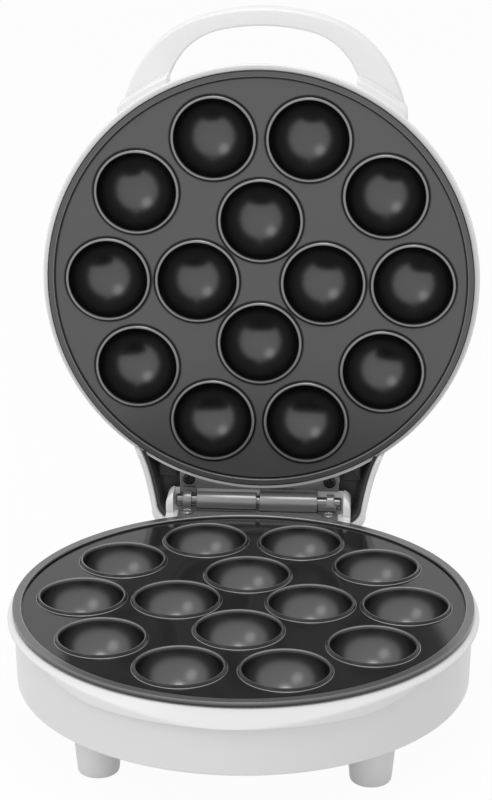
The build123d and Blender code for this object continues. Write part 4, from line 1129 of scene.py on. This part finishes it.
pin_steel = finish("drawn_pin_steel", (0.18, 0.18, 0.185), 0.28, 0.12, 1800.0, 0.000006, 0.08, DRAWN_GRAIN,
                   Metallic=1.0)
make_piece("drawn_pin", [patch(points_at(pin[..., 2], pin[..., 0] + HINGE_Y, pin[..., 1] + HINGE_Z))],
           "base", in_base, pin_steel, ["hinge_pin"])

# The screws that show: two black ones in the lid's leaf, two zinc-plated ones in the base's leaf and
# four in the bottom cover, all with a domed head and a pressed cross recess.
LEAF_SCREW = {"head_r": 2.95, "head_high": 1.6, "shank_r": 1.6, "length": 7.5}
COVER_SCREW = {"head_r": 2.8, "head_high": 1.4, "shank_r": 1.3, "length": 6.6}
HEAD_FALL, HEAD_POWER = 0.55, 2.6
HEAD_BRIM = 0.42
HEAD_ROWS, HEAD_STEPS = 20, 96
LAST_ROW = 0.97
RECESS_HALF = 0.42
RECESS_REACH = 1.75
RECESS_DEPTH = 0.9
RECESS_RISE = 0.35
RECESS_SIDE_BLEND, RECESS_END_BLEND = 0.06, 0.08


def domed_screw(head_r, head_high, shank_r, length):
    """A screw with its head up and its seat at height 0. The head falls away with a power of the radius,
    and four slots, each where |x| or |y| is small and the other less than the reach, go in."""
    radius = np.append(np.linspace(0, LAST_ROW, HEAD_ROWS), 1.0) * head_r
    angle = np.linspace(0, 2 * np.pi, HEAD_STEPS, endpoint=False)[:, None]
    x, y = np.abs(radius * np.cos(angle)), np.abs(radius * np.sin(angle))
    slot, reach = np.minimum(x, y), np.maximum(x, y)
    cut = 1 / (1 + np.exp((slot - RECESS_HALF) / RECESS_SIDE_BLEND))
    cut = cut / (1 + np.exp((reach - RECESS_REACH) / RECESS_END_BLEND))
    height = head_high * (1 - HEAD_FALL * (radius / head_r) ** HEAD_POWER)
    height = height - RECESS_DEPTH * cut * (1 - RECESS_RISE * reach / RECESS_REACH)
    chain = soft_corners([(head_r, HEAD_BRIM * head_high, 0), (head_r, 0, 0.1), (shank_r, 0, 0.05),
                          (shank_r, -length, 0.3), (0, -length, 0)], 3)
    head = points_at(radius, height)
    profile = np.concatenate([head, np.broadcast_to(chain, (len(angle), *chain.shape))], axis=1)
    return turned(profile, len(angle))


def screws_at(places, seat, side, sizes):
    """Patches of like screws; side is 1 with the heads up and -1 with the heads down."""
    screw = domed_screw(**sizes) * (1, 1, side)
    return [patch(screw + (x, y, seat)) for x, y in places]


BASE_SCREW_REACH = 8.6
BASE_SCREW_PLACES = [(side * LEAF_SCREW_X, HINGE_Y - BASE_SCREW_REACH) for side in (1, -1)]
LEAF_UNDER = HINGE_Z - BARREL_R
black_steel = finish("blackened_steel", (0.02, 0.02, 0.02), 0.32, 0.12, 1600.0, 0.00001, 0.1, Metallic=0.6)
zinc_plate = finish("zinc_plated_steel", (0.3, 0.3, 0.31), 0.45, 0.14, 1600.0, 0.000006, 0.1, Metallic=1.0)
make_piece("black_leaf_screws", screws_at(LID_SCREW_PLACES, LEAF_TOP - LEAF_SHEET, -1, LEAF_SCREW),
           "lid", in_lid, black_steel, ["lid_leaf_screws"])
make_piece("zinc_leaf_screws", screws_at(BASE_SCREW_PLACES, LEAF_UNDER + LEAF_SHEET, 1, LEAF_SCREW),
           "base", in_base, zinc_plate, ["base_leaf_screws"])
make_piece("zinc_cover_screws", screws_at(COVER_SCREW_PLACES, COVER_BOTTOM, -1, COVER_SCREW),
           "base", in_base, zinc_plate, ["cover_screws"])

# The lamp lenses: two small tinted domes in the crown, each with a flange that holds it from inside.
# The lamps behind them are little glass tubes.
LENS_FLANGE_R = 4.6
LENS_WALL_R = LENS_R - 0.02
LENS_MIDDLE_Z = LID_TOP - 0.35
LENS_RISE = 0.95
FLANGE_UNDER = CROWN_UNDER - 1
LENS_FOOT_Z = LID_TOP - 0.2
LENS_BEND = 1.25
LENS_STEPS = 48
bend = np.linspace(0, LENS_BEND, 10)
lens_curve = np.column_stack([LENS_R * np.sin(bend), LENS_MIDDLE_Z + LENS_RISE * np.cos(bend)])
lens_flange = soft_corners([(LENS_WALL_R, LENS_FOOT_Z, 0), (LENS_WALL_R, CROWN_UNDER, 0.1),
                            (LENS_FLANGE_R, CROWN_UNDER, 0.1), (LENS_FLANGE_R, FLANGE_UNDER, 0.2),
                            (0, FLANGE_UNDER, 0)], 4)
lens_profile = np.concatenate([lens_curve, lens_flange])
red_tint = finish("tinted_lens", (0.75, 0.12, 0.07), 0.12, 0.05, 900.0, 0.000004, 0.1,
                  Transmission_Weight=0.7, IOR=1.49)
make_piece("tinted_lenses", turned_at(LENS_PLACES, lens_profile, LENS_STEPS),
           "lid", in_lid, red_tint, ["lamp_lenses"])

# The sealed parts keep the frame's own shapes: the elements, their stand-offs and reflectors, the
# sensors, terminal blocks, leads, clips, lamps and inner screws, each with its own finish.
element = finish("sheathed_element", (0.2, 0.19, 0.19), 0.5, 0.15, 700.0, 0.00002, 0.25, Metallic=1.0)
pale_ceramic = finish("pale_ceramic", (0.76, 0.73, 0.67), 0.6, 0.15, 600.0, 0.00004, 0.08)
tinned = finish("tinned_sheet", (0.62, 0.62, 0.63), 0.22, 0.12, 500.0, 0.00001, 0.1, DRAWN_GRAIN,
                Metallic=1.0)
sensor_body = finish("moulded_sensor", (0.03, 0.027, 0.025), 0.5, 0.12, 700.0, 0.00003, 0.1)
cream = finish("cream_moulding", (0.66, 0.62, 0.5), 0.45, 0.1, 600.0, 0.00002, 0.06)
sleeve = finish("woven_sleeve", (0.6, 0.6, 0.56), 0.7, 0.2, 1600.0, 0.0001, 0.12)
spring = finish("spring_steel", (0.45, 0.45, 0.46), 0.3, 0.12, 900.0, 0.00001, 0.1, DRAWN_GRAIN, Metallic=1.0)
lamp_glass = finish("lamp_glass", (0.85, 0.6, 0.5), 0.08, 0.03, 500.0, 0.000004, 0.1,
                    Transmission_Weight=0.8, IOR=1.5)
SEALED_PARTS = (
    (element, ("lower_heater", "upper_heater")),
    (pale_ceramic, ("lower_standoffs", "upper_standoffs")),
    (tinned, ("lower_reflector", "upper_reflector")),
    (sensor_body, ("lower_thermostat", "upper_thermal_fuse")),
    (cream, ("terminal_block", "lid_terminal")),
    (sleeve, ("base_leads", "lid_leads")),
    (spring, ("lid_clips",)),
    (lamp_glass, ("lamps",)),
    (zinc_plate, ("foot_screws", "lower_plate_screws", "upper_plate_screws", "handle_screws")))
for material, names in SEALED_PARTS:
    for name in names:
        coat_node(name, material)
